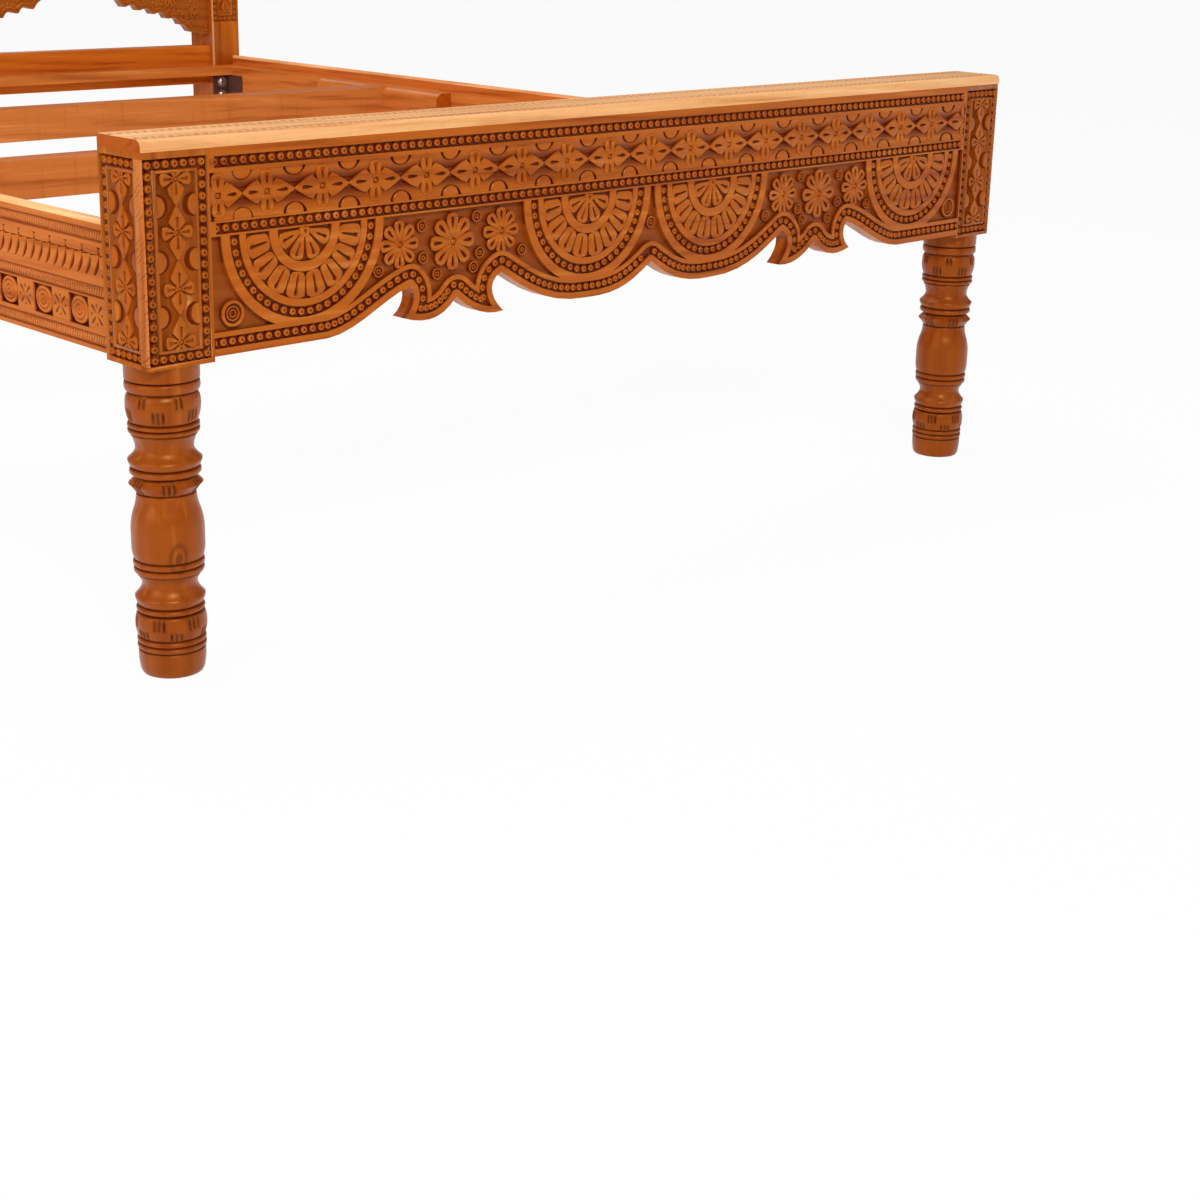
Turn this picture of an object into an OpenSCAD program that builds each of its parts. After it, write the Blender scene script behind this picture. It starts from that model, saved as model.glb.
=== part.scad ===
// Carved teak bed: footboard with turned legs, rebated side rails, cross beams and an arched headboard.
// X runs across the bed, Y from the footboard to the headboard and Z up from the floor.
// The origin is on the floor, at the middle of the bed.

/* [Overall] */
// Width over the two footboard posts
bed_w = 1650; // [1500:10:1800]
// Clear length between the foot posts and the head posts
inner_l = 2040; // [1940:10:2140]
// Height of the top of the footboard
foot_h = 650; // [630:2:700]
// Height of the front legs, from the floor to the square blocks
leg_h = 386; // [370:2:400]
// Height of the top of the head posts
head_post_h = 1070; // [1040:5:1160]

/* [Foot posts and footboard] */
// Side of the square foot posts
post_w = 90; // [84:1:100]
// Thickness of the cap board on the footboard
cap_t = 14; // [12:1:20]
// Depth of the rounded front edge of the cap board
cap_nose = 7; // [3:1:10]
// Thickness of the carved front board
apron_t = 25; // [22:1:30]
// Height of the flat bottom edge of the front board above the post blocks
apron_rise = 4; // [1:1:10]
// Thickness of the plain back board of the footboard
back_board_t = 25; // [20:1:30]
// Height of the plain back board of the footboard
back_board_h = 160; // [140:5:190]

/* [Side rails] */
// Thickness of a side rail
rail_t = 31; // [28:1:36]
// Height of a side rail
rail_h = 162; // [140:2:170]
// Height of the top of the side rails
rail_top = 538; // [530:1:550]
// Distance of the rail faces from the outer faces of the foot posts
rail_inset = 40; // [36:1:46]
// Width of the shelf cut into the inner top edge
shelf_w = 18; // [14:1:20]
// Drop of the shelf below the top of the rail
shelf_drop = 21; // [14:1:24]
// Bevel on the outer top edge of a rail
rail_bevel = 5; // [2:1:8]

/* [Cross beams] */
// Thickness of a cross beam
beam_t = 50; // [40:1:60]
// Height of a cross beam
beam_h = 60; // [50:1:70]
// Distance from the foot posts to the middle of the front beam
beam_front_y = 775; // [700:5:800]
// Distance from the foot posts to the middle of the rear beam
beam_rear_y = 1430; // [1350:5:1500]
// Length of a block beside a beam end
block_l = 180; // [150:5:200]
// Thickness of a block
block_t = 40; // [30:1:46]
// Round of the upper inner edge of a block
block_round = 18; // [8:1:22]
// Thickness of the cleat under a beam end
cleat_h = 22; // [18:1:28]

/* [Ledges] */
// Height and depth of the ledge strips at the two ends of the bed
ledge_t = 22; // [18:1:28]

/* [Headboard] */
// Width of a head post
head_post_w = 72; // [66:1:80]
// Depth of a head post
head_post_d = 90; // [80:1:100]
// Distance of the head posts from the outer faces of the foot posts
head_inset = 35; // [30:1:40]
// Distance of the boards behind the front faces of the head posts
setback = 16; // [10:1:20]
// Height of the bottom board
bottom_h = 88; // [80:1:96]
// Height of the lower edge of the bottom board
bottom_z = 474; // [460:1:490]
// Thickness of the bottom board and of the upper rails
head_rail_t = 34; // [30:1:40]
// Thickness of the arch panels and of the upper panel
panel_t = 22; // [18:1:26]
// Gap between the bottom board and the lowest points of the arch panels
arch_gap = 26; // [20:1:34]
// Rise of the arches from their lowest points to the top
arch_rise = 132; // [110:2:150]
// Wood above the top of each arch
arch_crown = 44; // [36:1:60]
// Number of small curves on each side of an arch, below its wide curve
foils = 4; // [3:1:6]
// Depth of the small curves
foil_d = 10; // [4:0.5:12]
// Height of the two upper rails
head_rail_h = 62; // [50:1:70]
// Thickness of the cap board on the headboard
head_cap_t = 18; // [14:1:24]
// Overhang of the headboard cap at its front and ends
head_cap_over = 8; // [4:1:12]
// Height of the crest board at its middle
crest_h = 118; // [90:2:150]
// Thickness of the crest board
crest_t = 26; // [20:1:32]

/* [Joints] */
// Thickness of the tenons
tenon_t = 12; // [10:1:14]
// Length of the long tenons
tenon_l = 40; // [30:1:50]
// Length of the stub tenons on the side rails
stub_l = 16; // [12:1:24]
// Play of each tenon in its mortise
play = 0.2; // [0.1:0.1:0.5]
// Thickness of the tongues on the panels
tongue_t = 8; // [6:1:10]
// Depth of the panel grooves
groove_d = 9; // [7:1:12]
// Diameter of the dowels
dowel_d = 10; // [8:1:12]
// Diameter of the pegs through the tenons
peg_d = 8; // [6:1:10]

/* [Metal fittings] */
// Leg of an angle bracket on the post
bracket_a = 40; // [36:1:42]
// Leg of an angle bracket on the side rail
bracket_b = 62; // [56:1:80]
// Height of an angle bracket
bracket_h = 62; // [56:1:80]
// Thickness of an angle bracket
bracket_t = 4; // [3:0.5:5]
// Spacing of the two bolts in a bracket
bolt_pitch = 30; // [26:1:36]
// Diameter of the bolts
bolt_d = 8; // [6:1:10]
// Length of a bolt in the post
bolt_l = 55; // [40:1:65]
// Diameter of the washers
washer_d = 24; // [20:1:26]
// Thickness of the washers
washer_t = 2; // [1.5:0.5:3]
// Diameter of the screws in the side rails
screw_d = 5; // [4:0.5:6]
// Length of the screws in the side rails
screw_l = 20; // [16:1:24]

/* [Carved fields] */
// Width of the grooves that hold the bead rows
bead_w = 13.5; // [12:0.5:15]
// Depth of the bead grooves
bead_depth = 5; // [3:0.5:6]
// Depth of the carved grounds
ground_depth = 7; // [4:0.5:9]
// Plain margin between the edge of the front board and its bead groove
edge_margin = 8.5; // [6:0.5:10]
// Width of the ridge inside the bead groove of the front board
ridge_w = 6; // [4:0.5:8]
// Outer radius of a fan
fan_r = 120; // [100:1:122]
// Width of the outer ring of a fan
fan_rim = 12; // [8:0.5:14]
// Width of the inner fan rings
fan_ring = 9; // [7:0.5:11]
// Inner radius of the long blades of a fan
fan_blade_r = 52; // [46:1:56]
// Distance from the middle of the bed to the inner fans
fan_inner_x = 124.5; // [118:0.5:130]
// Distance from the middle of the bed to the outer fans
fan_outer_x = 601.5; // [590:0.5:610]
// Spacing of the medallions on the side rails
medallion_pitch = 85; // [75:1:95]
// Length of a medallion recess
medallion_l = 46; // [40:1:52]
// Height of a medallion recess
medallion_h = 38; // [32:1:40]

/* [Hidden] */

teak = [0.74, 0.42, 0.20];
teak_light = [0.80, 0.50, 0.25];
teak_dark = [0.62, 0.33, 0.14];
dark_steel = [0.25, 0.19, 0.18];
bright_steel = [0.80, 0.78, 0.74];
round_fn = 64;
over = 1;

// Planes along the bed
total_l = post_w + inner_l + head_post_d;
y_front = -total_l / 2;
y_foot_back = y_front + post_w;
y_head = y_foot_back + inner_l;
y_back = y_head + head_post_d;
y_board = y_head + setback;

// Planes across the bed
x_out = bed_w / 2;
x_in = x_out - post_w;
rail_x_out = x_out - rail_inset;
rail_x_in = rail_x_out - rail_t;
head_x_out = x_out - head_inset;
head_x_in = head_x_out - head_post_w;
centre_w = head_post_w;

// Heights
block_top = foot_h - cap_t;
apron_z = leg_h + apron_rise;
shelf_z = rail_top - shelf_drop;
rail_z = rail_top - rail_h;
beam_z = shelf_z - beam_h;
back_board_z = block_top - back_board_h;
bottom_top = bottom_z + bottom_h;
arch_z = bottom_top + arch_gap;
mid_z = arch_z + arch_rise + arch_crown;
mid_top = mid_z + head_rail_h;
top_z = head_post_h - head_rail_h;
crest_z = head_post_h + head_cap_t;

// Rows of the front board, measured down from its top
row_1_z = block_top - 17;
frieze_top = block_top - 29;
frieze_bottom = block_top - 85;
row_2_z = block_top - 94;
fan_z = block_top - 105;
ground_top = block_top - 103;

// Bands of the side rails, measured down from the top of the rail, as [top, height, depth]
rail_bands = [[14.5, 11.5, 1.5], [34, 36, 3], [82.5, 12.5, 1.5], [143, 12, 1.5]];
medallion_drop = 98.5;

// Brackets sit just under the ledges
bracket_top = shelf_z - ledge_t - 1;
bolt_z = bracket_top - bracket_h / 2;
bolt_x = rail_x_in - bracket_a / 2 + bracket_t / 2;
screw_y = bracket_b * 0.6;
head_h = bolt_d * 0.6;
foot_screw_x = x_in + 8;

// Dowels
dowel_deep = 30;
cap_bore = cap_t - 5;
cap_dowel_y = [y_front + post_w * 0.3, y_front + post_w * 0.7];
ledge_bore = back_board_t * 0.6;
ledge_dowels_at = [0.2, 0.6, 0.94];

// Turning of the legs from the top down: [height, cut below the full radius at its lower end, bulge]
upper_turning = [[19, 0, 0], [1, 2.5, 0], [1, 1, 0], [12, 1.5, 1.5], [2, 4.2, 0], [9, 0.4, 0.8],
    [27, 4.2, 1.7], [7, 3.4, 2], [7, 4, 1.8], [19, 10, -1.6], [13, 0.5, -1.6], [2, 0.5, 0],
    [8, 4.4, 0.4], [9, 4.4, 2.6], [1, 8.5, 0], [2, 8.5, 0], [8, 0.5, 0], [11, 9, -0.5],
    [3, 8.8, 0], [20, 4.4, -0.8], [25, 0.6, 1]];
lower_turning = [[15, 3.4, 0.6], [9, 3.8, 2], [9, 4.6, 2], [14, 11.5, -1.4], [15, 2.4, -1.6],
    [2, 2.4, 0], [9, 6, 0.3], [8, 6, 2.8], [1, 7, 0], [1, 4, 0], [30, 4.4, 2.8], [8, 4.2, 1.4],
    [8, 4.2, 1.4], [24, 5.4, 0.8], [7, 8, 0.5]];
belly_h = leg_h - height_of(upper_turning) - height_of(lower_turning);
turning = concat(upper_turning, [[belly_h, 0.6, 0]], lower_turning);
leg_r = post_w / 2 - 0.5;
rear_leg_r = head_post_w / 2 - 0.5;

// Shares of the half width of an arch: where its wide curve and its small curves start and end
wide_foil = 0.16;
wide_foil_z = 0.67;
foil_start = 0.33;
foil_end = 0.77;
// Half length that the outline of the front board is drawn for
pattern_half = 735;
outline_steps = 7;
foil_steps = 6;
apron_stretch = x_in / pattern_half;
crest_stretch = head_x_in / 718;

function height_of(rows, last) =
    let (n = is_undef(last) ? len(rows) - 1 : last) n < 0 ? 0 : rows[n][0] + height_of(rows, n - 1);

function turned(rows, r, cut) = [
    for (i = [0:len(rows) - 1])
    let (top = height_of(rows) - height_of(rows, i - 1), low = top - rows[i][0],
        from = i == 0 ? 0 : rows[i - 1][1], steps = rows[i][2] == 0 ? 1 : 5)
    for (s = [1:steps])
    let (u = s / steps)
    [r - cut * (from + (rows[i][1] - from) * u - rows[i][2] * 4 * u * (1 - u)), top + (low - top) * u]];

function curve(a, b, c, d) = [
    for (i = [1:outline_steps])
    let (t = i / outline_steps, s = 1 - t)
    s * s * s * a + 3 * s * s * t * b + 3 * s * t * t * c + t * t * t * d];

function stretched(points, kx) = [for (p = points) [p[0] * kx, p[1]]];

function mirrored(points) = [for (i = [len(points) - 1:-1:0]) [-points[i][0], points[i][1]]];

// Lower edge of the front board from the middle to the post, as [across, above the flat edge]
function apron_half() = concat([[0, 37]],
    curve([0, 37], [40, 10], [65, -2], [125, 0]),
    curve([125, 0], [205, -2], [245, 30], [285, 53]),
    curve([285, 53], [310, 42], [303, 20], [280.5, 1]),
    curve([280.5, 1], [315, -4], [342, 12], [362, 30]),
    curve([362, 30], [385, 2], [415, 0], [448, 11]),
    curve([448, 11], [431, 22], [427, 42], [439, 52]),
    curve([439, 52], [480, 42], [525, 4], [570, 2]));

// Upper edge of the crest from the middle to its end, as shares of its height
function crest_half() = concat([[0, 1]],
    curve([0, 1], [40, 0.86], [70, 0.78], [130, 0.78]),
    curve([130, 0.78], [215, 0.78], [250, 0.58], [292, 0.46]),
    curve([292, 0.46], [318, 0.6], [345, 0.66], [385, 0.56]),
    curve([385, 0.56], [455, 0.42], [520, 0.22], [600, 0.18]));

// Height of the tips between the small curves of an arch, u being the share of its half width
function arch_tip(u) = arch_rise * (u <= 0 ? 1 : 0.18 + 0.6 * pow(max(0, foil_end - u), 0.75));

module board(x0, x1, y0, y1, z0, z1) {
    translate([x0, y0, z0]) cube([x1 - x0, y1 - y0, z1 - z0]);
}

module both_sides() {
    children();
    mirror([1, 0, 0]) children();
}

module upright(y, t) {
    translate([0, y + t, 0]) rotate([90, 0, 0]) linear_extrude(t) children();
}

module dowel_up(x, y, z, l, d = dowel_d) {
    translate([x, y, z]) cylinder(d = d, h = l, $fn = round_fn);
}

module dowel_back(x, y, z, l, d = dowel_d) {
    translate([x, y, z]) rotate([-90, 0, 0]) cylinder(d = d, h = l, $fn = round_fn);
}

module dowel_across(x, y, z, l, d = dowel_d) {
    translate([x, y, z]) rotate([0, 90, 0]) cylinder(d = d, h = l, $fn = round_fn);
}

module turned_leg(r, cut) {
    rotate_extrude($fn = 96) polygon(concat([[0, 0], [0, leg_h + over], [r, leg_h + over], [r, leg_h]],
        turned(turning, r, cut)));
}

// Groove for a border of beads and a sunk field, on the face y = 0 of a post that is w wide
module post_panel(w, z0, z1) {
    rim = 2.5;
    field = rim + bead_w + 2.5;
    difference() {
        board(rim, w - rim, -over, bead_depth, z0 + 5, z1 - 8);
        board(rim + bead_w, w - rim - bead_w, -2 * over, bead_depth + over,
            z0 + 5 + bead_w, z1 - 8 - bead_w);
    }
    board(field, w - field, -over, bead_depth - over, z0 + bead_w + 8, z1 - bead_w - 11);
}

// Tenons of one board end at x, which points in the direction dir
module tenon(x, dir, y, z0, z1, l, slack) {
    t = tenon_t + 2 * slack;
    translate([dir > 0 ? x - over : x - l - slack, y - t / 2, z0 - slack])
        cube([l + slack + over, t, z1 - z0 + 2 * slack]);
}

module foot_tenons(slack) {
    tenon(x_in, 1, y_front + apron_t / 2 + 2, apron_z + 60, block_top - 40, tenon_l, slack);
    tenon(x_in, 1, y_foot_back - back_board_t / 2 - 2, back_board_z + 20, block_top - 40, tenon_l, slack);
}

module head_tenons(slack) {
    y = y_board + head_rail_t / 2;
    tenon(head_x_in, 1, y, bottom_z + 15, bottom_top - 15, tenon_l, slack);
    tenon(head_x_in, 1, y, mid_z + 12, mid_top - 12, tenon_l, slack);
    tenon(head_x_in, 1, y, top_z + 12, head_post_h - 14, tenon_l, slack);
}

module rail_stub(y, dir, slack) {
    t = tenon_t + 2 * slack;
    x = (rail_x_in + rail_x_out) / 2;
    translate([x - t / 2, dir > 0 ? y - over : y - stub_l - slack, rail_z + 30 - slack])
        cube([t, stub_l + slack + over, rail_h - 70 + 2 * slack]);
}

module bracket_bores() {
    for (s = [-0.5, 0.5])
        dowel_back(bolt_x, y_head - over, bolt_z + s * bolt_pitch, bolt_l + 2 + over, bolt_d + 0.2);
}

module foot_post() {
    color(teak) difference() {
        union() {
            board(x_in, x_out, y_front, y_foot_back, leg_h, block_top);
            translate([x_out - post_w / 2, y_front + post_w / 2, 0]) turned_leg(leg_r, 1);
        }
        translate([x_in, y_front, 0]) post_panel(post_w, leg_h, block_top);
        translate([x_out, y_front, 0]) rotate([0, 0, 90]) post_panel(post_w, leg_h, block_top);
        foot_tenons(play);
        rail_stub(y_foot_back, -1, play);
        foot_screw_set(0.2);
        for (y = cap_dowel_y)
            dowel_up(x_out - post_w / 2, y, block_top - dowel_deep, dowel_deep + over, dowel_d + 0.2);
        foot_peg_set(0.2);
    }
}

module foot_peg_set(slack) {
    for (z = [back_board_z + 45, block_top - 65])
        dowel_back(x_in + tenon_l * 0.5, y_foot_back - back_board_t - 8, z, back_board_t + 8 + slack * 5,
            peg_d + slack);
}

module head_peg_set(slack) {
    y = y_board + head_rail_t / 2 - tenon_t;
    for (z = [bottom_z + 28, bottom_top - 28, (mid_z + mid_top) / 2, (top_z + head_post_h) / 2])
        dowel_back(head_x_in + tenon_l * 0.5, y, z, y_back - y + slack * 5, peg_d + slack);
}

module foot_post_left() mirror([1, 0, 0]) foot_post();

module foot_post_right() foot_post();

module apron_2d(past = 0) {
    half = stretched(apron_half(), apron_stretch);
    low = [for (p = half) [p[0], p[1] + apron_z]];
    ends = [[x_in + past, apron_z + 2], [x_in + past, block_top]];
    polygon(concat(low, ends, mirrored(concat(low, ends))));
}

module fan_places() {
    for (x = [-fan_outer_x, -fan_inner_x, fan_inner_x, fan_outer_x])
        translate([x * apron_stretch, fan_z]) children();
}

module ring_2d(r1, r0) {
    difference() {
        circle(r = r1, $fn = round_fn);
        circle(r = r0, $fn = round_fn);
    }
}

module below_2d(z) {
    translate([-x_in - over, apron_z - 20]) square([2 * (x_in + over), z - apron_z + 20]);
}

module sink(depth) {
    upright(y_front - over, depth + over) children();
}

module foot_rail_carving() {
    margin = edge_margin + bead_w + ridge_w;
    long = x_in - 7;
    for (z = [row_1_z, row_2_z])
        board(-long, long, y_front - over, y_front + bead_depth, z - bead_w / 2, z + bead_w / 2);
    board(-x_in - over, x_in + over, y_front - over, y_front + bead_depth + over,
        frieze_bottom, frieze_top);
    sink(bead_depth) intersection() {
        difference() {
            offset(r = -edge_margin, $fn = 24) apron_2d(2 * margin);
            offset(r = -edge_margin - bead_w, $fn = 24) apron_2d(2 * margin);
        }
        below_2d(apron_z + 85);
    }
    sink(ground_depth) intersection() {
        difference() {
            offset(r = -margin, $fn = 24) apron_2d(2 * margin);
            fan_places() circle(r = fan_r, $fn = round_fn);
        }
        below_2d(ground_top);
    }
    sink(bead_depth) intersection() {
        fan_places() ring_2d(fan_r - fan_rim, fan_r - fan_rim - bead_w);
        below_2d(ground_top);
    }
    sink(bead_depth - over) intersection() {
        fan_places() {
            ring_2d(fan_r - fan_rim - bead_w - fan_ring, fan_blade_r);
            circle(r = fan_blade_r - fan_ring - 3, $fn = round_fn);
        }
        below_2d(ground_top);
    }
}

module foot_rail() {
    color(teak) difference() {
        union() {
            upright(y_front, apron_t) apron_2d();
            both_sides() tenon(x_in, 1, y_front + apron_t / 2 + 2, apron_z + 60, block_top - 40,
                tenon_l, 0);
        }
        foot_rail_carving();
        foot_cap_dowel_set(0.2);
    }
}

module foot_back_board() {
    y = y_foot_back - back_board_t;
    color(teak_light) difference() {
        union() {
            board(-x_in, x_in, y, y_foot_back, back_board_z, block_top);
            both_sides() tenon(x_in, 1, y_foot_back - back_board_t / 2 - 2, back_board_z + 20,
                block_top - 40, tenon_l, 0);
        }
        both_sides() {
            foot_peg_set(0.2);
            ledge_dowel_foot(0.2);
        }
    }
}

module foot_cap() {
    color(teak_light) difference() {
        translate([-x_out, 0, 0]) rotate([90, 0, 90]) linear_extrude(bed_w)
            polygon([[y_front, block_top], [y_foot_back, block_top], [y_foot_back, foot_h],
                [y_front + cap_nose, foot_h], [y_front + cap_nose * 0.3, foot_h - cap_nose * 0.35],
                [y_front, foot_h - cap_nose * 1.2]]);
        foot_cap_dowel_set(0.2);
    }
}

// Dowels between the cap and what it lies on
module foot_cap_dowel_set(slack) {
    low = block_top - dowel_deep;
    for (x = [-x_out + post_w / 2, x_out - post_w / 2], y = cap_dowel_y)
        dowel_up(x, y, low, dowel_deep + cap_bore, dowel_d + slack);
    for (x = [-0.75, -0.25, 0.25, 0.75])
        dowel_up(x * x_in, y_front + apron_t / 2 + 2, low, dowel_deep + cap_bore, dowel_d + slack);
}

module foot_cap_dowels() color(teak_dark) foot_cap_dowel_set(0);

module foot_ledge() {
    color(teak_light) difference() {
        board(-rail_x_in, rail_x_in, y_foot_back, y_foot_back + ledge_t, shelf_z - ledge_t, shelf_z);
        both_sides() ledge_dowel_foot(0.2);
    }
}

module ledge_dowel_foot(slack) {
    for (u = ledge_dowels_at)
        dowel_back(u * head_x_in, y_foot_back - ledge_bore, shelf_z - ledge_t / 2,
            ledge_bore + ledge_t * 0.6, dowel_d + slack);
}

module ledge_dowel_head(slack) {
    for (u = ledge_dowels_at)
        dowel_back(u * head_x_in, y_head - ledge_t * 0.6, shelf_z - ledge_t / 2,
            ledge_t * 0.6 + setback + ledge_bore, dowel_d + slack);
}

module ledge_dowels() color(teak_dark) both_sides() {
    ledge_dowel_foot(0);
    ledge_dowel_head(0);
}

module side_rail() {
    count = floor((inner_l - medallion_l) / medallion_pitch);
    first = y_foot_back + (inner_l - count * medallion_pitch) / 2;
    color(teak) difference() {
        union() {
            difference() {
                board(rail_x_in, rail_x_out, y_foot_back, y_head, rail_z, rail_top);
                board(rail_x_in - over, rail_x_in + shelf_w, y_foot_back - over, y_head + over, shelf_z,
                    rail_top + over);
                translate([rail_x_out, y_foot_back - over, rail_top]) rotate([-90, 0, 0])
                    linear_extrude(inner_l + 2 * over) polygon([[over, -over], [over, rail_bevel],
                        [0, rail_bevel], [-rail_bevel, 0], [-rail_bevel, -over]]);
            }
            rail_stub(y_foot_back, -1, 0);
            rail_stub(y_head, 1, 0);
        }
        for (b = rail_bands)
            board(rail_x_out - b[2], rail_x_out + over, y_foot_back - over, y_head + over,
                rail_top - b[0] - b[1], rail_top - b[0]);
        for (i = [0:count])
            board(rail_x_out - ground_depth, rail_x_out + over,
                first + i * medallion_pitch - medallion_l / 2,
                first + i * medallion_pitch + medallion_l / 2,
                rail_top - medallion_drop - medallion_h, rail_top - medallion_drop);
        block_dowel_set(0.2);
        screw_set(y_foot_back, 1, 0.2);
        screw_set(y_head, -1, 0.2);
    }
}

module side_rail_left() mirror([1, 0, 0]) side_rail();

module side_rail_right() side_rail();

beam_y = [y_foot_back + beam_front_y, y_foot_back + beam_rear_y];

module cross_beam(i) {
    color(teak_light) board(-rail_x_in, rail_x_in, beam_y[i] - beam_t / 2, beam_y[i] + beam_t / 2, beam_z,
        shelf_z);
}

module cross_beam_front() cross_beam(0);

module cross_beam_rear() cross_beam(1);

// Block beside the right end of beam i, in front of it (s = -1) or behind it (s = 1)
module beam_block(i, s) {
    y0 = s < 0 ? beam_y[i] - beam_t / 2 - block_l : beam_y[i] + beam_t / 2;
    color(teak_light) difference() {
        translate([rail_x_in - block_t, y0 + block_l, beam_z]) rotate([90, 0, 0]) linear_extrude(block_l)
            difference() {
                square([block_t, beam_h]);
                difference() {
                    translate([-over, beam_h - block_round]) square(block_round + over);
                    translate([block_round, beam_h - block_round]) circle(r = block_round, $fn = round_fn);
                }
            }
        block_dowel_set(0.2);
    }
}

module block_dowel_set(slack) {
    for (i = [0, 1], s = [-1, 1], u = [0.25, 0.75])
        dowel_across(rail_x_in - block_t * 0.5, beam_y[i] + s * (beam_t / 2 + block_l * u),
            beam_z + beam_h / 2, block_t * 0.5 + rail_t * 0.45, dowel_d + slack);
}

module block_dowels() color(teak_dark) both_sides() block_dowel_set(0);

module beam_block_1() mirror([1, 0, 0]) beam_block(0, -1);

module beam_block_2() mirror([1, 0, 0]) beam_block(0, 1);

module beam_block_3() mirror([1, 0, 0]) beam_block(1, -1);

module beam_block_4() mirror([1, 0, 0]) beam_block(1, 1);

module beam_block_5() beam_block(0, -1);

module beam_block_6() beam_block(0, 1);

module beam_block_7() beam_block(1, -1);

module beam_block_8() beam_block(1, 1);

module beam_cleat(i) {
    long = beam_t / 2 + block_l;
    color(teak_light) board(rail_x_in - block_t, rail_x_in, beam_y[i] - long, beam_y[i] + long,
        beam_z - cleat_h, beam_z);
}

module beam_cleat_1() mirror([1, 0, 0]) beam_cleat(0);

module beam_cleat_2() mirror([1, 0, 0]) beam_cleat(1);

module beam_cleat_3() beam_cleat(0);

module beam_cleat_4() beam_cleat(1);

// Groove of the panels in the inner face of a head post
module panel_grooves(slack) {
    y = y_board + panel_t / 2;
    t = tongue_t / 2 + slack;
    board(head_x_in - over, head_x_in + groove_d, y - t, y + t, arch_z, mid_z);
    board(head_x_in - over, head_x_in + groove_d, y - t, y + t, mid_top, top_z);
}

module head_post() {
    carve_z = bottom_top + 50;
    color(teak) difference() {
        union() {
            board(head_x_in, head_x_out, y_head, y_back, leg_h, head_post_h);
            translate([(head_x_in + head_x_out) / 2, (y_head + y_back) / 2, 0])
                turned_leg(rear_leg_r, rear_leg_r / leg_r);
        }
        translate([head_x_in, y_head, 0]) post_panel(head_post_w, carve_z, head_post_h);
        head_tenons(play);
        panel_grooves(play);
        rail_stub(y_head, 1, play);
        bracket_bores();
        head_peg_set(0.2);
        head_cap_dowel_set(0.2);
    }
}

module head_post_left() mirror([1, 0, 0]) head_post();

module head_post_right() head_post();

module head_bottom_board() {
    color(teak_light) difference() {
        union() {
            board(-head_x_in, head_x_in, y_board, y_board + head_rail_t, bottom_z, bottom_top);
            both_sides() tenon(head_x_in, 1, y_board + head_rail_t / 2, bottom_z + 15, bottom_top - 15,
                tenon_l, 0);
        }
        both_sides() {
            head_peg_set(0.2);
            ledge_dowel_head(0.2);
        }
        centre_stub(bottom_top, -1, play);
    }
}

module centre_stub(z, dir, slack) {
    t = tenon_t / 2 + slack;
    w = centre_w / 2 - 12 + slack;
    y = y_board + head_rail_t / 2;
    low = dir < 0 ? z - stub_l - slack : z - over;
    board(-w, w, y - t, y + t, low, low + stub_l + slack + over);
}

module head_ledge() {
    color(teak_light) difference() {
        union() {
            board(-rail_x_in, rail_x_in, y_head - ledge_t, y_head, shelf_z - ledge_t, shelf_z);
            board(-head_x_in, head_x_in, y_head - over, y_board, shelf_z - ledge_t, shelf_z);
        }
        both_sides() ledge_dowel_head(0.2);
    }
}

module head_centre_post() {
    y = y_board + panel_t / 2;
    t = tongue_t / 2 + play;
    color(teak) difference() {
        union() {
            board(-centre_w / 2, centre_w / 2, y_head, y_board + head_rail_t, bottom_top, mid_z);
            centre_stub(bottom_top, -1, 0);
            centre_stub(mid_z, 1, 0);
        }
        both_sides() board(centre_w / 2 - groove_d, centre_w / 2 + over, y - t, y + t,
            arch_z, mid_z + over);
    }
}

// Small curve of an arch from one tip to the next
function foil_arc(half, u0, z0, u1, z1, deep) = [
    for (s = [1:foil_steps])
    let (t = s / foil_steps)
    [half * (u0 + (u1 - u0) * t), z0 + (z1 - z0) * t + deep * 6.75 * t * t * (1 - t)]];

// One side of the opening of an arch, from its middle to its side
function arch_side(half) = concat([[0, arch_rise]],
    curve([0, arch_rise], [half * 0.03, arch_rise * 0.84], [half * 0.125, arch_rise * 0.88],
        [half * wide_foil, arch_rise * wide_foil_z]),
    foil_arc(half, wide_foil, arch_rise * wide_foil_z, foil_start, arch_tip(foil_start), foil_d * 1.2),
    [for (i = [0:foils - 1])
    let (w = (foil_end - foil_start) / foils, u0 = foil_start + w * i, u1 = u0 + w)
    each foil_arc(half, u0, arch_tip(u0), u1, arch_tip(u1), foil_d)],
    curve([half * foil_end, arch_rise * 0.18], [half * 0.8, arch_rise * 0.2],
        [half * 0.815, arch_rise * 0.16], [half * 0.84, arch_rise * 0.06]),
    curve([half * 0.84, arch_rise * 0.06], [half * 0.88, arch_rise * 0.03],
        [half * 0.94, arch_rise * 0.01], [half, 0]));

module arch_opening(half) {
    side = arch_side(half);
    polygon(concat(side, [[half, -over], [-half, -over]], mirrored(side)));
}

module arch_panel() {
    x0 = centre_w / 2;
    mid = (x0 + head_x_in) / 2;
    half = (head_x_in - x0) / 2;
    y = y_board + panel_t / 2;
    reach = groove_d - play;
    color(teak) difference() {
        union() {
            board(x0, head_x_in, y_board, y_board + panel_t, arch_z, mid_z);
            board(x0 - reach, head_x_in + reach, y - tongue_t / 2, y + tongue_t / 2, arch_z, mid_z);
            board(x0, head_x_in, y - tongue_t / 2, y + tongue_t / 2, mid_z - over, mid_z + reach);
        }
        upright(y_board - over, panel_t + 2 * over) translate([mid, arch_z]) arch_opening(half);
    }
}

module arch_panel_left() mirror([1, 0, 0]) arch_panel();

module arch_panel_right() arch_panel();

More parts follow.
